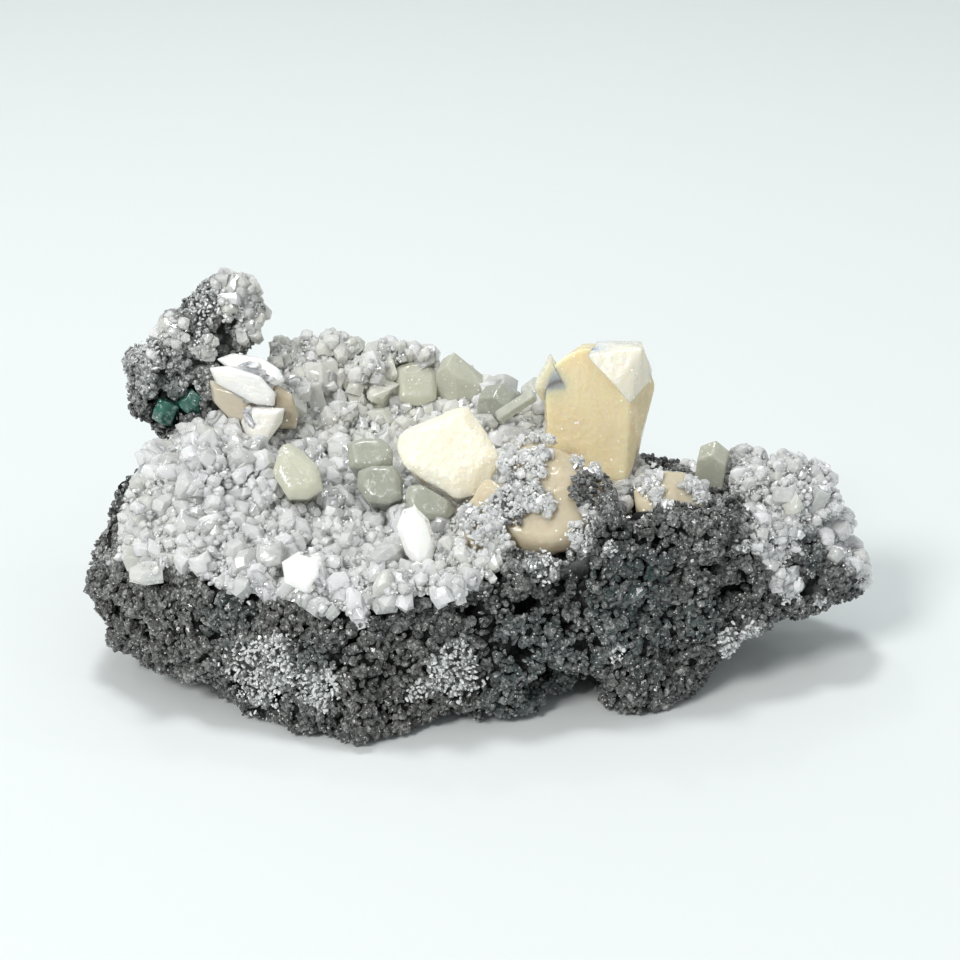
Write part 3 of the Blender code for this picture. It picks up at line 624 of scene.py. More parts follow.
def crusted_rock():
    """Lumps of crust: near-black hearts, ragged rims of painted highlight, brown or teal patches, fine
    painted glints.
    """
    material, tree, shader = principled("crusted_rock", {
        "Roughness": 0.38, "IOR": 1.52, "Sheen Weight": 0.5, "Sheen Roughness": 0.3,
        "Sheen Tint": (0.62, 0.66, 0.65, 1), "Coat Weight": 0.5, "Coat Roughness": 0.12})
    fine = clouds(tree, 0.6, 0.42, 0.7, 5.0)
    speck = use(tree, SPARKLE, Size=0.3, Share=0.075, Tilt=0.9)
    dark = mixed(tree, attribute(tree, "brown"), (0.005, 0.006, 0.006, 1), (0.016, 0.015, 0.013, 1))
    light = mixed(tree, attribute(tree, "brown"), (0.10, 0.106, 0.104, 1), (0.2, 0.192, 0.178, 1))
    colour = mixed(tree, fine, dark, light)
    colour = mixed(tree, times(tree, attribute(tree, "teal"), 0.6), colour, (0.02, 0.06, 0.058, 1))
    # Painted rim highlight: a pale ragged ring where each lump's edge is seen, in place of light at grazing
    # angles.
    ragged = times(tree, attribute(tree, "rim"), clouds(tree, 0.8, 0.3, 0.6, 3.0))
    colour = mixed(tree, ragged, colour, (0.42, 0.425, 0.41, 1))
    frosted = times(tree, attribute(tree, "frost"), clouds(tree, 0.7, 0.3, 0.55, 4.0))
    colour = mixed(tree, frosted, colour, (0.72, 0.74, 0.73, 1))
    grain = put(tree, "ShaderNodeMapRange", i0=speck.outputs["Tone"], i3=0.45, i4=1.6).outputs[0]
    grain = put(tree, "ShaderNodeCombineXYZ", i0=grain, i1=grain, i2=grain).outputs[0]
    colour = mixed(tree, 1.0, colour, grain, "MULTIPLY")
    # Painted glints: a share of the sparkle cells turned near white.
    colour = mixed(tree, times(tree, speck.outputs["Mask"], 0.8), colour, (0.85, 0.86, 0.85, 1))
    tree.links.new(colour, shader.inputs["Base Color"])
    bumped(tree, shader, fine, 0.2, speck.outputs["Normal"])
    return material


def rock_ground():
    """What shows between the lumps: almost black, darker than the lumps as painted shade in the gaps; rough.
    """
    material, tree, shader = principled("rock_ground", {
        "Roughness": 0.8, "IOR": 1.5, "Specular IOR Level": 0.3})
    fine = clouds(tree, 0.8, 0.45, 0.8, 5.0)
    # Painted shade: the dark rock's ground is kept darker than the lumps, so the gaps and hollows read as
    # shade.
    colour = mixed(tree, fine, (0.005, 0.005, 0.005, 1), (0.05, 0.05, 0.048, 1))
    colour = mixed(tree, attribute(tree, "frost"), colour, (0.3, 0.31, 0.3, 1))
    tree.links.new(colour, shader.inputs["Base Color"])
    bumped(tree, shader, fine, 0.3)
    return material


def apophyllite(name, low, high, warm, clear, glints=0.03, skin=1.5, roughness=0.16):
    """Glassy crystal: cloudy inside, from a low to a high colour by its tone, partly see-through, with
    painted glints that glow.
    """
    material, tree, shader = principled(name, {
        "IOR": 1.535, "Transmission Weight": clear, "Subsurface Weight": 0.6, "Subsurface Scale": skin * MM,
        "Subsurface Radius": (1.0, 1.0, 0.9), "Coat Weight": 0.4, "Coat Roughness": 0.04})
    cloud = clouds(tree, 1.8, 0.32, 0.68)
    veil = clouds(tree, 0.7, 0.52, 0.75, 3.0)
    toned = calc(tree, "ADD", times(tree, attribute(tree, "tone"), 1.1),
                 times(tree, calc(tree, "SUBTRACT", cloud, 0.5), 0.35), True)
    colour = mixed(tree, toned, low, high)
    colour = mixed(tree, attribute(tree, "warm"), colour, warm)
    colour = mixed(tree, times(tree, veil, 0.4), colour, (0.88, 0.89, 0.87, 1))
    speck = use(tree, SPARKLE, Size=0.28, Share=glints, Tilt=0.12)
    # Painted glints: bright sparkle cells in clusters, turned white.
    glint = times(tree, speck.outputs["Mask"], clouds(tree, 3.0, 0.45, 0.6, 2.0))
    colour = mixed(tree, glint, colour, (1, 1, 1, 1))
    tree.links.new(colour, shader.inputs["Base Color"])
    rough = calc(tree, "ADD", times(tree, cloud, 0.2), roughness - 0.1)
    tree.links.new(rough, shader.inputs["Roughness"])
    # The painted glints also glow.
    tree.links.new(times(tree, glint, 0.35), shader.inputs["Emission Strength"])
    shader.inputs["Emission Color"].default_value = (1, 1, 1, 1)
    bumped(tree, shader, veil, 0.06, speck.outputs["Normal"])
    return material


def sugar_coat():
    """Fine sparkling sugar, from grey to white by its tone."""
    material, tree, shader = principled("sugar", {
        "IOR": 1.53, "Roughness": 0.2, "Subsurface Weight": 0.5, "Subsurface Scale": 0.6 * MM,
        "Subsurface Radius": (1.0, 1.0, 1.0), "Coat Weight": 0.6, "Coat Roughness": 0.04})
    colour = mixed(tree, attribute(tree, "tone"), (0.42, 0.44, 0.43, 1), (0.95, 0.96, 0.95, 1))
    tree.links.new(colour, shader.inputs["Base Color"])
    return material


def stilbite(name, base, deep, glow, squeeze, stripes=0.25, glints=0.03, sugar=0.1, rough=0.25, skin=2.5):
    """Pearly stilbite: its colour deepens in slow clouds and along stripes, under a skin with bright dots
    that are painted glints and glow.
    """
    material, tree, shader = principled(name, {
        "IOR": 1.5, "Subsurface Weight": 0.8, "Subsurface Scale": skin * MM, "Subsurface Radius": glow,
        "Coat Weight": 0.35, "Coat Roughness": 0.12})
    place = put(tree, "ShaderNodeTexCoord").outputs["Object"]
    mapping = put(tree, "ShaderNodeMapping", Vector=place)
    mapping.inputs["Scale"].default_value = squeeze
    grain = put(tree, "ShaderNodeTexNoise", Vector=mapping.outputs[0], Scale=1.0, Detail=4.0).outputs["Fac"]
    lines = put(tree, "ShaderNodeMapRange", i0=grain, i1=0.35, i2=0.65).outputs[0]
    cloud = clouds(tree, 7.0, 0.3, 0.7)
    sugary = clouds(tree, 0.9, 0.35, 0.75, 6.0)
    colour = mixed(tree, times(tree, cloud, 0.5), base, deep)
    colour = mixed(tree, times(tree, lines, stripes), colour, deep)
    colour = mixed(tree, attribute(tree, "brown"), colour, (0.50, 0.42, 0.28, 1))
    colour = mixed(tree, attribute(tree, "pale"), colour, (0.86, 0.83, 0.76, 1))
    speck = use(tree, SPARKLE, Size=0.34, Share=glints, Tilt=0.05)
    # Painted glints: bright sparkle cells in clusters, turned white.
    glint = times(tree, speck.outputs["Mask"], clouds(tree, 3.5, 0.48, 0.58, 2.0))
    colour = mixed(tree, glint, colour, (1, 1, 0.98, 1))
    tree.links.new(colour, shader.inputs["Base Color"])
    # The painted glints also glow.
    tree.links.new(times(tree, glint, 0.35), shader.inputs["Emission Strength"])
    shader.inputs["Emission Color"].default_value = (1, 1, 1, 1)
    worn = calc(tree, "ADD", times(tree, sugary, 0.2), rough - 0.08)
    tree.links.new(worn, shader.inputs["Roughness"])
    height = calc(tree, "ADD", times(tree, lines, 0.5), sugary)
    bumped(tree, shader, height, sugar, speck.outputs["Normal"])
    return material


# The rock and its crusts.

def frost_band(points):
    """Where white sugar lies on the dark rock: a broken band under the front rim, patches, and the horn."""
    across, down = in_photo(points)
    rim = np.interp(across, RIM_ACROSS, RIM_DOWN)
    band = ramp(np.abs(down - rim), 16, 4) * ramp(layers(points, 4.0, 3), -0.2, 0.3)
    horn = ramp(points[:, 2], *HORN_BEGINS) * (0.25 + 0.75 * ramp(layers(points, 3.5, 5), -0.35, 0.2))
    return np.clip(0.8 * band + patched(points, FROST, 0.6) + horn, 0, 1)


def cleft_mask(points):
    """Where the crust opens in black hollows: the ones in the photo, and others like them elsewhere."""
    scattered = ramp(knobs(points, 5.0, 7), 0.72, 0.86) * ramp(layers(points, 9.0, 15), -0.1, 0.25)
    return np.maximum(patched(points, CLEFTS, 0.5), 0.9 * scattered)


def crease_mask(points):
    """Where the crust draws in between its knots, which are a few millimetres across."""
    return ramp(knobs(points, 5.6, 17) + 0.15 * noise(points, 1.8, 18), 0.38, 0.78)


def build_rock(rng, material):
    """The dark rock: a sunk ground, black in part as painted shade, with deep hollows and thousands of crusty
    lumps crowding on it.
    """
    mesh = ground_of("rock", GROUND_VOXEL, "rock_ground")
    points, normals = points_of(mesh)
    places, axes = scatter(mesh, ROCK_PLACES, rng)
    depth = GROUND_SUNK + CLEFT_DEPTH * cleft_mask(points) + CREASE_DEPTH * crease_mask(points)
    depth += 0.4 * layers(points, 1.6, 2)
    foot = ramp(points[:, 2], 0.3, 2.5)
    moved = points - normals * (depth * (0.3 + 0.7 * foot))[:, None]
    moved[:, 2] = np.maximum(moved[:, 2], GROUND_FLOOR)
    settle(mesh, moved, frost=0.4 * frost_band(points))
    finished(mesh, "dark_rock", rock_ground(), "rock")

    kept = (rng.random(len(places)) > 0.97 * cleft_mask(places)) & (places[:, 2] > LUMP_FLOOR)
    kept &= (axes[:, 2] > -0.8) | (rng.random(len(places)) < 0.1)
    places, axes = places[kept], axes[kept]
    bare = ~under_crust(places, axes)
    places, axes = places[bare], axes[bare]
    creased = crease_mask(places) * ramp(places[:, 2], LUMP_FLOOR, 3.0)
    drawn = places - axes * (CREASE_DEPTH * creased)[:, None]
    large = one_per_cell(places, LUMP_SPACING, rng)
    lay_lumps("crust", drawn[large], axes[large], material, rng, 2, LUMP_RADIUS, (4, 8))
    small = one_per_cell(places, SMALL_SPACING, rng)
    lifted = drawn[small] + 0.35 * axes[small]
    lay_lumps("crumbs", lifted, axes[small], material, rng, 3, SMALL_RADIUS, (3, 6))


def lay_lumps(name, places, axes, material, rng, strips, size_range, grid):
    """Lumps of crust at the places given, in a few pieces from left to right."""
    count = len(places)
    shapes = lump_shapes(20, *grid)
    lean = unit(axes + 0.7 * rng.normal(size=(count, 3)))
    size = rng.uniform(*size_range, (count, 1)) * (1 + 0.25 * layers(places, 6.0, 9)[:, None])
    stretch = rng.uniform((0.75, 0.6, 0.55), (1.3, 1.1, 1.1), (count, 3))
    height = shapes[0][0][:, 2]
    # Painted rim highlight: a pale ring round the middle of each lump, where its edge is seen from the front.
    rim_highlight_of_shape = ramp(height, -0.4, 0.15) * ramp(height, 0.85, 0.5)
    frost = frost_band(places) * (0.3 + 0.7 * rng.random(count))
    teal = patched(places, TEAL, 0.6) * (0.3 + 0.7 * rng.random(count))
    brown = np.clip(patched(places, BROWN, 0.5) + 0.6 * (rng.random(count) < 0.2), 0, 1)
    # How strong each lump's painted rim highlight is.
    pale = 0.15 + 0.85 * rng.random(count) ** 1.5
    order = np.array_split(np.argsort(places[:, 0]), strips)
    for number, here in enumerate(order):
        kinds = rng.integers(0, len(shapes[0]), len(here))
        sunk = places[here] - axes[here] * (0.6 * size[here])
        world, faces = stamp(shapes, sunk, frames_along(lean[here], rng), size[here] * stretch[here], kinds)
        world[:, 2] = np.maximum(world[:, 2], FLOOR)
        each = shapes[0].shape[1]
        # The rim value carries the painted rim highlight to the material.
        values = {"rim": np.tile(rim_highlight_of_shape, len(here)) * np.repeat(pale[here], each),
                  "frost": np.repeat(frost[here], each), "teal": np.repeat(teal[here], each),
                  "brown": np.repeat(brown[here], each)}
        label = f"{name}_{number + 1}" if strips > 1 else name
        finished(mesh_from_arrays(label, world, faces, values, smooth=False), "dark_rock", material)
    print(name, count)


def solid_tree(nodes):
    """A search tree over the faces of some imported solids, in metres."""
    corners, faces = [], []
    for node in nodes:
        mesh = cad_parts[node].data
        start = len(corners)
        corners += [v.co.copy() for v in mesh.vertices]
        faces += [[start + k for k in p.vertices] for p in mesh.polygons]
    return BVHTree.FromPolygons(corners, faces)


def under_crust(points, axes):
    """True for the places on the rock with the druse or the glassy cluster right on top of them."""
    tree = solid_tree(("apophyllite_druse", "glassy_cluster"))
    reach = CRUST_REACH * MM
    return np.array([tree.ray_cast(Vector(p * MM), Vector(a), reach)[0] is not None
                     for p, a in zip(points, axes)])


def lay_crystals(name, places, axes, size_range, slot, material, rng, lean=0.65, shapes=None, sink=0.25,
                 tone=None, warm=None, longer=(0.9, 1.5)):
    """Small crystals at the places given, each leaning its own way, of sizes in a range or one for each."""
    shapes = shapes or crystal_shapes(16, rng)
    count = len(places)
    axis = unit(axes + lean * rng.normal(size=(count, 3)))
    size = size_range if np.ndim(size_range) == 2 else rng.uniform(*size_range, (count, 1))
    stretch = rng.uniform((0.8, 0.7, longer[0]), (1.1, 1.1, longer[1]), (count, 3))
    kinds = rng.integers(0, len(shapes[0]), count)
    world, faces = stamp(shapes, places - axes * size * sink, frames_along(axis, rng), size * stretch, kinds)
    each = shapes[0].shape[1]
    if tone is None:
        tone = np.where(rng.random(count) < 0.3, 1.0, rng.random(count) * 0.7) + 0.3 * layers(places, 7.0, 12)
    if warm is None:
        warm = 0.45 * ramp(layers(places, 12.0, 19), 0.0, 0.5) + 0.6 * ramp(places[:, 1], 6, 16)
        warm = warm * rng.random(count)
    values = {"tone": np.repeat(np.clip(tone, 0, 1), each), "warm": np.repeat(np.clip(warm, 0, 1), each)}
    print(name, count, "crystals")
    return finished(mesh_from_arrays(name, world, faces, values, smooth=False), slot, material)


def build_crust(node, seed, kinds, materials):
    """A crust: its own skin, sunk a little, with blocky crystals of three sizes crowding on it."""
    rng = np.random.default_rng(seed)
    mesh = ground_of(node, CRUST_VOXEL, f"{node}_ground")
    points, normals = points_of(mesh)
    places, axes = scatter(mesh, CRUST_PLACES, rng)
    shown = axes @ np.array([0, -0.25, 1.0]) > 0.0
    places, axes = places[shown], axes[shown]
    moved = points - normals * (DRUSE_SUNK + 0.6 * layers(points, 1.5, 31))[:, None]
    settle(mesh, moved, tone=0.35 + 0.3 * layers(points, 3.0, 8), warm=np.zeros(len(points)))
    finished(mesh, "druse", materials["ground"], node)
    for label, spacing, low, high in kinds:
        chosen = one_per_cell(places, spacing, rng)
        chosen = chosen[rng.random(len(chosen)) < 0.85]
        lay_crystals(f"{node}_{label}", places[chosen], axes[chosen], (low, high), "druse",
                     materials["glassy"], rng)
    grains = one_per_cell(places, GRAIN_SPACING, rng)
    here, axis = places[grains], axes[grains]
    share = 0.06 + 0.7 * ramp(layers(here, 5.0, 33), 0.1, 0.5) + 0.8 * frost_band(here)
    dusted = rng.random(len(here)) < share
    here, axis = here[dusted], axis[dusted]
    lay_crystals(f"{node}_sugar", here + 0.25 * axis, axis, (0.16, 0.42), "druse", materials["sugar"], rng,
                 0.9, grain_shapes(12, rng), tone=rng.random(len(here)) ** 0.6)


# Crystals of the druse that the photo shows one by one: across, down, radius in its pixels, tone, warmth.
SHOWN = [
    (189, 455, 13, 1.0, 0), (208, 460, 14, 0.45, 0), (244, 466, 13, 0.5, 0.4), (240, 478, 10, 0.9, 0),
    (186, 486, 15, 0.4, 0), (170, 490, 10, 0.65, 0), (228, 504, 11, 0.4, 0), (260, 500, 12, 0.85, 0),
    (264, 518, 9, 0.2, 0), (248, 526, 10, 0.5, 0.3), (292, 490, 10, 0.6, 0), (312, 510, 12, 0.35, 0),
    (320, 526, 12, 0.4, 0), (268, 476, 10, 0.5, 0), (138, 532, 8, 0.4, 0), (146, 546, 9, 0.85, 0),
    (241, 282, 11, 0.6, 0.7), (244, 298, 9, 0.45, 0), (248, 312, 9, 0.5, 0), (255, 326, 8, 0.6, 0.3),
    (224, 286, 7, 0.9, 0), (174, 332, 9, 0.7, 0), (152, 354, 9, 0.9, 0), (196, 424, 9, 0.6, 0.2),
    (186, 430, 8, 0.6, 0), (315, 342, 9, 0.55, 0.3), (313, 356, 10, 0.8, 0), (321, 379, 17, 0.55, 0.4),
    (302, 392, 12, 0.6, 0.2), (354, 347, 12, 0.6, 0.7), (367, 365, 11, 0.6, 0.4), (379, 394, 15, 0.7, 0.9),
    (356, 388, 12, 0.45, 0.5), (415, 351, 10, 0.8, 0), (518, 422, 10, 0.75, 0.2), (498, 427, 8, 0.7, 0),
    (537, 421, 9, 0.1, 0.3), (406, 407, 10, 0.3, 0.2), (394, 419, 5, 1.0, 0), (357, 413, 10, 0.2, 0),
    (313, 444, 12, 0.3, 0), (342, 428, 8, 0.65, 0), (336, 461, 8, 1.0, 0), (334, 478, 8, 0.5, 0.6),
    (394, 502, 9, 0.45, 0.3), (327, 515, 11, 0.4, 0), (305, 534, 11, 0.35, 0), (357, 517, 13, 0.4, 0),
    (375, 525, 12, 0.35, 0), (367, 552, 14, 0.45, 0), (390, 544, 14, 0.4, 0), (334, 560, 10, 0.95, 0.2),
    (309, 567, 12, 1.0, 0.2), (325, 579, 9, 0.95, 0.1), (292, 574, 9, 0.9, 0), (448, 546, 12, 0.55, 0.4),
    (756, 463, 8, 0.45, 0), (772, 463, 8, 0.5, 0), (797, 466, 10, 0.5, 0.2), (815, 474, 10, 0.3, 0),
    (776, 480, 9, 0.3, 0.4), (760, 476, 7, 0.5, 0), (793, 505, 12, 0.3, 0.5), (818, 492, 9, 1.0, 0),
    (837, 496, 7, 0.4, 0), (842, 530, 13, 0.6, 0), (853, 521, 9, 0.5, 0), (862, 553, 8, 0.7, 0),
    (866, 572, 8, 0.6, 0), (782, 533, 10, 0.5, 0), (779, 516, 7, 0.95, 0), (795, 524, 6, 1.0, 0),
    (789, 578, 8, 0.6, 0), (772, 565, 9, 0.35, 0), (708, 460, 7, 0.95, 0), (770, 500, 9, 0.45, 0.2),
]


def surface_seen(pixels):
    """Where the camera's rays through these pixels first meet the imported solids: point, normal and ray."""
    tree = solid_tree(("rock", "apophyllite_druse", "glassy_cluster"))
    forward, up = Vector(FORWARD), Vector(UP)
    eye = AIM - DISTANCE * forward
    found = []
    for across, down in pixels:
        way = FOCAL * forward + (across - PIXELS / 2) * Vector((1, 0, 0)) + (PIXELS / 2 - down) * up
        place, normal, _, _ = tree.ray_cast(eye, way.normalized())
        found.append(None if place is None else (np.array(place) / MM, np.array(normal), way.normalized()))
    return found


def build_shown(material, rng):
    """Single druse crystals: each stands where the photo shows it, turned out of the crust and to the eye."""
    hits = surface_seen([(x, y) for x, y, *_ in SHOWN])
    rows = [(hit, row) for hit, row in zip(hits, SHOWN) if hit is not None]
    places = np.array([hit[0] for hit, _ in rows])
    axes = unit(np.array([hit[1] - 0.35 * np.array(hit[2]) for hit, _ in rows]))
    scale = DISTANCE / FOCAL / MM
    size = np.array([[row[2] * scale] for _, row in rows])
    lay_crystals("druse_shown", places, axes, size, "druse", material, rng, 0.3, sink=0.35,
                 tone=np.array([row[3] for _, row in rows]), warm=np.array([row[4] for _, row in rows]),
                 longer=(0.9, 1.2))


# Crystals with names. Their corners are in millimetres: right, back and up.

PRISM_BODY = [
    (10.6, -3.5, 25), (21.5, -4, 25), (23.2, 3, 25), (21, 6, 25), (11.5, 5.5, 25), (9.9, 1, 25),
    (9.9, -0.4, 41.6), (22.6, -0.2, 43), (26.4, 2.8, 41.4), (24.5, 6.6, 42), (11.5, 6.2, 41.5),
    (9.5, 2, 42.2), (11.2, 0.6, 46), (15.2, 1.2, 48), (22.8, 0.6, 47.4), (24, 3.4, 47.4), (15.5, 4.4, 47.6),
]
PRISM_CHIP = [
    (15.8, -0.4, 47.4), (23.9, -0.6, 48.6), (25.8, 0.2, 43.8), (22.2, -3.2, 40.8), (20, -3, 43.8),
    (24.2, 3.6, 48.2), (17.5, 3, 48.4), (25.4, 3.2, 44.8),
]
PRISM_STEP = [
    (8.2, 0, 42), (8.4, 2.8, 42.4), (10.4, 0.2, 46.2), (10.6, 3.4, 46.4), (13, 0, 42), (13, 3, 42),
    (9.2, 1, 39.4),
]
SHEAF_UPPER = [
    (-41, 14.2, 41), (-38.3, 14.3, 42), (-33.6, 13, 41.7), (-30.9, 11.4, 40.5), (-29.9, 10.4, 38.9),
    (-31.6, 10, 38.2), (-35.5, 11.5, 38.7), (-38.9, 13, 39.8),
]
SHEAF_MIDDLE = [
    (-42, 12.5, 40.3), (-38.6, 12, 40.8), (-33.6, 10, 39.8), (-31.3, 8.9, 37.3), (-31.6, 8.5, 35.4),
    (-34.7, 8.9, 35.6), (-37.8, 10, 36.7), (-40.9, 11.5, 38),
]
SHEAF_LOWER = [
    (-37, 8.5, 32.8), (-35.4, 9, 35.2), (-30, 8.5, 35.2), (-30.4, 8, 33.2), (-31.5, 7, 31.6),
    (-33.5, 6, 29.5), (-36, 7, 31),
]
SHEAF_LEFT = [(-42, 13, 38), (-41.6, 12, 34.8), (-38, 10, 31.6), (-35, 9.5, 32), (-36, 10.5, 37)]
SHEAF_RIGHT = [(-32, 11, 38), (-29, 11, 36.4), (-28.2, 11, 33), (-28.6, 11, 30.5), (-32, 10, 31)]
DOME_MASS = [
    (3.7, -7, 36.4), (7.4, -6, 37.2), (11.1, -5.4, 36.9), (13.3, -6, 35.4), (16.2, -8, 34.2),
    (19.1, -10, 31.9), (20.2, -12, 30.9), (1.8, -19.6, 29.8), (5.7, -22.6, 27.4), (11.4, -23, 27.4),
    (15.7, -21.6, 27.7), (3.2, -13, 35.8), (9.5, -12, 36.5), (13.7, -16, 34.4), (18.6, -14, 32.8),
    (19.4, -18, 29.4), (1.6, -17, 24), (4, -21.5, 24), (16, -21, 24), (20, -14, 24), (18.4, -8, 25),
    (4, -6, 26),
]
DOME_LOBE = [
    (-2.6, -16, 30), (0.6, -12.5, 33.4), (3.4, -14, 34), (3.4, -20.5, 28.4), (-1.4, -20.5, 27),
    (-2.4, -17, 23.6), (0, -20.5, 23.6), (4, -17, 23.6), (1, -12.6, 25),
]


def upright_ribs(points):
    """Fine upright ribs: noise that changes quickly round the crystal and slowly up it."""
    side = ramp(points[:, 0] - 0.1 * points[:, 2], 17.6, 18.6)
    ribs = noise(points * np.array([1.0, 1.0, 0.05]), 0.8, 41)
    return (0.02 + 0.12 * side) * ribs + 0.1 * layers(points, 5.0, 43)


def sugary(points):
    """A sugary skin: small lumps on slow waves."""
    return 0.14 * layers(points, 1.0, 51) + 0.22 * layers(points, 4.0, 52)


def melted(points):
    """A dimpled, half melted skin."""
    dimples = ramp(knobs(points, 3.0, 63), 0.5, 0.1)
    return 0.45 * layers(points, 5.0, 61) + 0.1 * layers(points, 1.3, 62) - 0.25 * dimples


def faint(points):
    """A nearly flat skin."""
    return 0.05 * layers(points, 2.5, 64)


def node_corners(node):
    """Corners of a CAD node, in millimetres."""
    return points_of(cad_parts[node].data)[0]


def build_crystal(name, slot, material, bodies, nodes, relief, rows=100, columns=200, crisp=60.0,
                  merge=12.0, **values):
    """One named crystal from its bodies' corners, with one value a body for what its material reads."""
    parts = [polyhedron(corners, rows, columns, crisp, merge, relief) for corners in bodies]
    points, faces = joined(parts)
    made = {key: np.zeros(len(points)) for key in ("tone", "warm", "pale", "brown")}
    made["tone"] += 0.5
    each = len(parts[0][0])
    for key, numbers in values.items():
        made[key] = np.repeat(numbers, each)
    return finished(mesh_from_arrays(name, points, faces, made), slot, material, *nodes)


def lay_blades(name, root, tips, count, width, material, rng, short, spread):
    """A spray of thin blades from a root to points along a line of tips, with their flat sides out.

    The shortest blade is that share of the whole way, and their roots spread that far in depth.
    """
    root, tips = np.array(root, float), np.array(tips, float)
    along = rng.random(count) * (len(tips) - 1)
    aim = np.stack([np.interp(along, np.arange(len(tips)), tips[:, k]) for k in range(3)], axis=-1)
    out = np.cross(tips[-1] - root, tips[0] - root)
    out = unit(out * (-1 if out[1] > 0 else 1))
    depth = out * rng.uniform(-spread, spread, (count, 1))
    foot = root + depth + 0.35 * rng.normal(size=(count, 3))
    way = aim + depth - foot
    length = np.linalg.norm(way, axis=1) * rng.uniform(short, 1, count)
    along = unit(way)
    face = unit(out - (along @ out)[:, None] * along)
    shapes = blade_shapes(8, rng)
    wide = width * rng.uniform(0.6, 1.2, count)
    thick = 0.3 * width * rng.uniform(0.7, 1.2, count)
    sizes = np.stack([wide, thick, length], axis=-1)
    frames = np.stack([np.cross(face, along), face, along], axis=-1)
    world, faces = stamp(shapes, foot, frames, sizes, rng.integers(0, 8, count))
    values = {key: np.zeros(len(world)) for key in ("pale", "brown")}
    return finished(mesh_from_arrays(name, world, faces, values), "cream_stilbite", material)


def build_stilbite(rng):
    """The prism, the block, the sheaf, the three sprays and the two peach masses."""
    tan = stilbite("tan_stilbite", (0.90, 0.80, 0.54, 1), (0.80, 0.66, 0.40, 1), (1.0, 0.75, 0.4),
                   (700, 700, 30))
    cream = stilbite("cream_stilbite", (0.95, 0.90, 0.76, 1), (0.88, 0.80, 0.62, 1), (1.0, 0.85, 0.6),
                     (400, 400, 400), glints=0.08, sugar=0.16)
    white = stilbite("white_stilbite", (0.97, 0.96, 0.92, 1), (0.90, 0.86, 0.76, 1), (1.0, 0.9, 0.75),
                     (250, 250, 1200), 0.3, sugar=0.08, rough=0.2)
    peach = stilbite("peach_stilbite", (0.66, 0.58, 0.43, 1), (0.52, 0.44, 0.30, 1), (1.0, 0.8, 0.55),
                     (300, 300, 300), sugar=0.05, rough=0.16, skin=3.0)
    build_crystal("stilbite_prism_skin", "tan_stilbite", tan, (PRISM_BODY, PRISM_CHIP, PRISM_STEP),
                  ("stilbite_prism",), upright_ribs, 120, 240, pale=(0.0, 0.75, 0.3))
    build_crystal("stilbite_block_skin", "cream_stilbite", cream, (node_corners("stilbite_block"),),
                  ("stilbite_block",), sugary, crisp=26.0, merge=20.0)
    build_crystal("stilbite_sheaf_skin", "cream_stilbite", white,
                  (plate(SHEAF_UPPER, 3, 0.5, 0.85), plate(SHEAF_MIDDLE, 2.5, 0.5, 0.85),
                   plate(SHEAF_LOWER, 4), plate(SHEAF_LEFT, 4), plate(SHEAF_RIGHT, 4)),
                  ("stilbite_sheaf",), faint, 70, 140, 40.0, brown=(0.0, 0.05, 0.15, 0.7, 0.85))
    lay_blades("stilbite_sheaf_blades", (-40.5, 12.8, 38.8),
               [(-35, 12.6, 41.6), (-31.5, 10.8, 40.4), (-30.4, 9.6, 38.6), (-31.8, 8.8, 36), (-35, 9, 35.8)],
               26, 1.1, white, rng, 0.8, 0.5)
    lay_blades("stilbite_sheaf_foot", (-36, 8.6, 34.6), [(-30.6, 8, 34), (-31.8, 7, 31.6), (-34, 6.2, 30.2)],
               18, 0.8, white, rng, 0.8, 0.4)
    for node in ("stilbite_fan", "stilbite_tuft", "stilbite_shard"):
        build_crystal(f"{node}_skin", "cream_stilbite", white, (node_corners(node),), (node,), faint, 50, 100)
    lay_blades("stilbite_fan_blades", (-8.6, -22, 23.8),
               [(-11.5, -18.8, 28.6), (-10.8, -17.8, 30.4), (-9.2, -17.6, 30.9), (-7.4, -18.6, 29.2),
                (-6.2, -20.2, 26.4)],
               90, 0.45, white, rng, 0.8, 0.5)
    lay_blades("stilbite_tuft_blades", (-22.6, -27, 22.6),
               [(-27.6, -26, 24), (-27.6, -24.6, 25.8), (-25.4, -24.2, 27), (-22.4, -24.6, 26.4)],
               50, 0.6, white, rng, 0.7, 0.6)
    lay_blades("stilbite_shard_blades", (-41.6, -14.2, 25.6),
               [(-39, -12.8, 27.8), (-37.6, -12.4, 27.8), (-37, -13, 26.4), (-38.4, -14.2, 25.4)],
               30, 0.5, white, rng, 0.75, 0.4)
    build_crystal("stilbite_dome_skin", "peach_stilbite", peach, (DOME_MASS, DOME_LOBE),
                  ("stilbite_dome",), melted, crisp=8.0, merge=16.0)
    build_crystal("stilbite_shoulder_skin", "peach_stilbite", peach, (node_corners("stilbite_shoulder"),),
                  ("stilbite_shoulder",), melted, 80, 160, 8.0, 16.0)


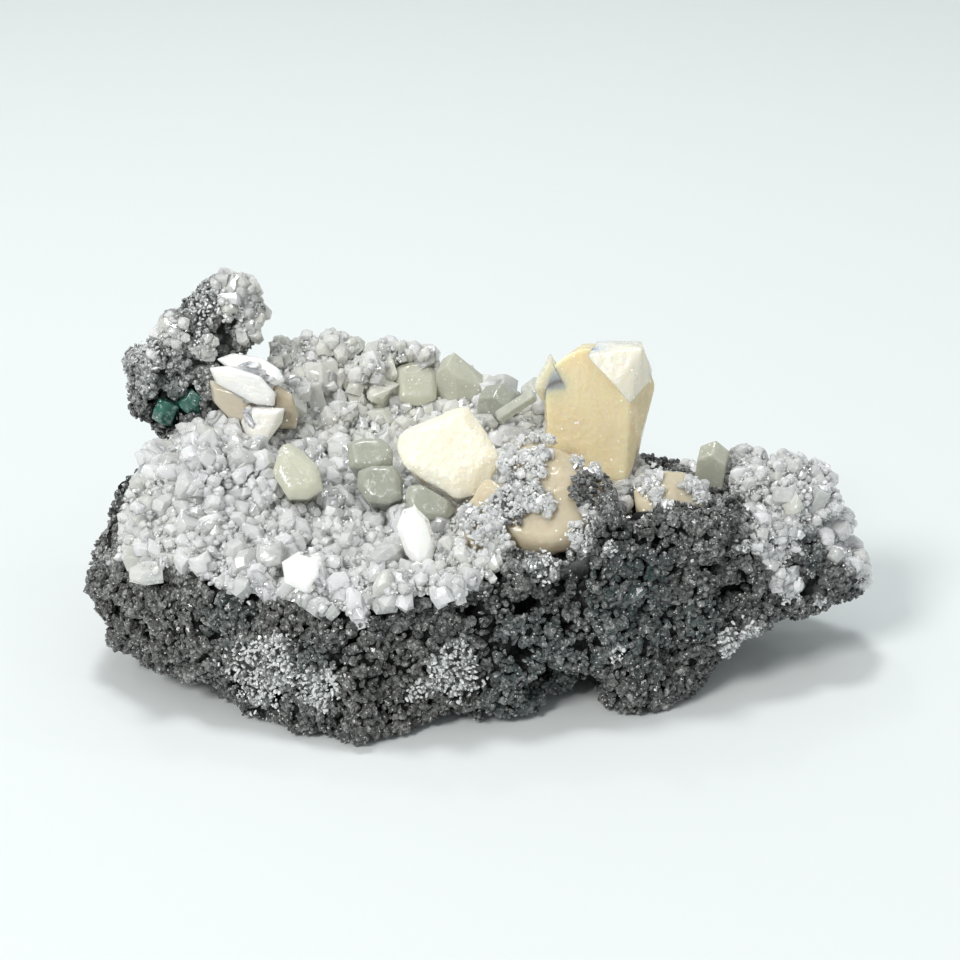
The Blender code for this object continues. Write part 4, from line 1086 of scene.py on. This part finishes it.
def build_apophyllite():
    """The grey-green crystals, each with its own tone and warmth, and the dark green ones."""
    pearl = apophyllite("pearly_apophyllite", (0.50, 0.52, 0.44, 1), (0.72, 0.74, 0.64, 1),
                        (0.80, 0.79, 0.62, 1), 0.3, skin=2.0)
    green = apophyllite("green_apophyllite", (0.01, 0.07, 0.05, 1), (0.05, 0.22, 0.17, 1),
                        (0.05, 0.2, 0.15, 1), 0.2, glints=0.04)
    for node, tone, warm in (
            ("wedge", 0.9, 0.6), ("back_table", 0.0, 0.1), ("front_table", 0.0, 0.0),
            ("low_table", 0.05, 0.1), ("rim_slab", 0.6, 0.6), ("rim_prism", 0.5, 0.6),
            ("rim_point", 0.6, 0.4), ("rim_dome", 0.0, 0.0), ("rod", 0.7, 0.1), ("point", 0.1, 0.3)):
        name = f"apophyllite_{node}"
        build_crystal(f"{name}_skin", "grey_apophyllite", pearl, (node_corners(name),), (name,), faint,
                      50, 100, 40.0, tone=(tone,), warm=(warm,))
    for node in ("green_apophyllite_lower", "green_apophyllite_upper", "green_apophyllite_side"):
        build_crystal(f"{node}_skin", "green_apophyllite", green, (node_corners(node),), (node,), faint,
                      40, 80)


def growths(node, patches, spacing, rng, ragged=0.5):
    """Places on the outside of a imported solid, inside patches of the photo, and apart by the spacing."""
    mesh = ground_of(node, GUIDE_VOXEL, f"{node}_guide")
    places, axes = scatter(mesh, ROCK_GUIDE_PLACES if node == "rock" else SMALL_GUIDE_PLACES, rng)
    bpy.data.meshes.remove(mesh)
    seen = axes @ FORWARD < 0
    places, axes = places[seen], axes[seen]
    inside = rng.random(len(places)) < patched(places, patches, ragged)
    places, axes = places[inside], axes[inside]
    chosen = one_per_cell(places, spacing, rng)
    return places[chosen], axes[chosen]


def build_growths(sugar, glassy, rock, rng):
    """Sugar and dark lumps that sit on the peach masses, and the crystals that stand on the bare rock."""
    grains = grain_shapes(12, rng)
    for node, patches in (("stilbite_dome", DOME_SUGAR), ("stilbite_shoulder", SHOULDER_SUGAR)):
        places, axes = growths(node, patches, 0.48, rng)
        lay_crystals(f"{node}_sugar", places + 0.2 * axes, axes, (0.2, 0.5), "druse", sugar, rng, 0.9, grains,
                     tone=rng.random(len(places)) ** 0.8)
        places, axes = growths(node, patches, 1.7, rng)
        lay_crystals(f"{node}_druse", places + 0.1 * axes, axes, (0.5, 0.95), "druse", glassy, rng, 0.9)
    places, axes = growths("stilbite_dome", DOME_DARK, 0.95, rng)
    lay_lumps("stilbite_dome_crust", places + 0.35 * axes, axes, rock, rng, 1, (0.4, 0.85), (4, 8))
    for label, spacing, sizes in (("blocks", 2.0, (0.8, 1.5)), ("grit", 1.1, (0.3, 0.7))):
        places, axes = growths("rock", CRYSTALS_ON_ROCK, spacing, rng)
        lay_crystals(f"rock_{label}", places, axes, sizes, "druse", glassy, rng, 0.7)
    places, axes = growths("rock", FROST + CRYSTALS_ON_ROCK, 0.6, rng, 0.8)
    lay_crystals("rock_sugar", places + 0.3 * axes, axes, (0.15, 0.4), "druse", sugar, rng, 0.9, grains,
                 tone=0.3 + 0.7 * rng.random(len(places)))


# The studio.

def area_light(name, place, aim, size, power, colour=(1, 1, 1)):
    """A round light of that size in metres and power in watts, turned to what it aims at."""
    data = bpy.data.lights.new(name, "AREA")
    data.shape = "DISK"
    data.size = size
    data.energy = power
    data.color = colour
    lamp = bpy.data.objects.new(name, data)
    bpy.context.scene.collection.objects.link(lamp)
    lamp.location = place
    lamp.rotation_euler = (Vector(aim) - Vector(place)).to_track_quat("-Z", "Y").to_euler()


def studio():
    """A pale sweep, a soft key from the upper left, small hard lights for glints, and the photo's camera."""
    reach, back, radius = 1.6, 0.9, 0.5
    turn = np.linspace(0, np.pi / 2, 24)
    profile = np.concatenate([
        [(-reach, 0.0)], np.column_stack([back + radius * np.sin(turn), radius - radius * np.cos(turn)]),
        [(back + radius, 2.0)]])
    across = np.array([-2.5, 2.5])
    sheet = np.array([[(x, y, z) for x in across] for y, z in profile]) / MM
    a = np.arange(len(profile) - 1) * 2
    mesh = mesh_from_arrays("sweep", sheet, [np.stack([a, a + 1, a + 3, a + 2], axis=-1)])
    paper, _, _ = principled("sweep_paper", {
        "Base Color": (0.78, 0.815, 0.81, 1), "Roughness": 0.9, "Specular IOR Level": 0.1})
    mesh.materials.append(paper)
    floor = bpy.data.objects.new("sweep", mesh)
    bpy.context.scene.collection.objects.link(floor)

    world = bpy.data.worlds.new("studio")
    bpy.context.scene.world = world
    world.use_nodes = True
    sky = world.node_tree.nodes["Background"]
    sky.inputs[0].default_value = (0.93, 0.97, 1.0, 1)
    sky.inputs[1].default_value = 0.40
    for name, place, size, power, colour in LIGHTS:
        area_light(name, place, (0, 0, 0.02), size, power, colour)
    for number in range(GLINTS):
        turn = math.radians(-170 + 34 * number)
        height = 0.45 + 0.3 * (number % 3)
        place = (0.7 * math.sin(turn), -0.5 * math.cos(turn) - 0.25, height)
        area_light(f"glint_{number + 1}", place, (0, 0, 0.03), 0.03, GLINT_POWER)

    data = bpy.data.cameras.new("camera")
    data.lens = LENS
    data.sensor_width = SENSOR
    camera = bpy.data.objects.new("camera", data)
    bpy.context.scene.collection.objects.link(camera)
    camera.location = AIM - DISTANCE * Vector(FORWARD)
    camera.rotation_euler = (math.pi / 2 - TILT, 0, 0)
    bpy.context.scene.camera = camera
    bpy.context.scene.view_settings.view_transform = "Standard"


def main():
    """Builds every piece, then the studio."""
    rng = np.random.default_rng(5)
    crusted = crusted_rock()
    build_rock(rng, crusted)
    ground = apophyllite("druse_ground", (0.45, 0.46, 0.45, 1), (0.92, 0.93, 0.90, 1),
                         (0.9, 0.9, 0.78, 1), 0.0)
    glassy = apophyllite("glassy_druse", (0.60, 0.61, 0.59, 1), (1.0, 1.0, 0.99, 1),
                         (0.95, 0.94, 0.80, 1), 0.22)
    sugar = sugar_coat()
    materials = {"ground": ground, "glassy": glassy, "sugar": sugar}
    for node, seed, kinds in CRUSTS:
        build_crust(node, seed, kinds, materials)
    build_shown(glassy, rng)
    build_stilbite(rng)
    build_apophyllite()
    build_growths(sugar, glassy, crusted, rng)
    studio()


main()
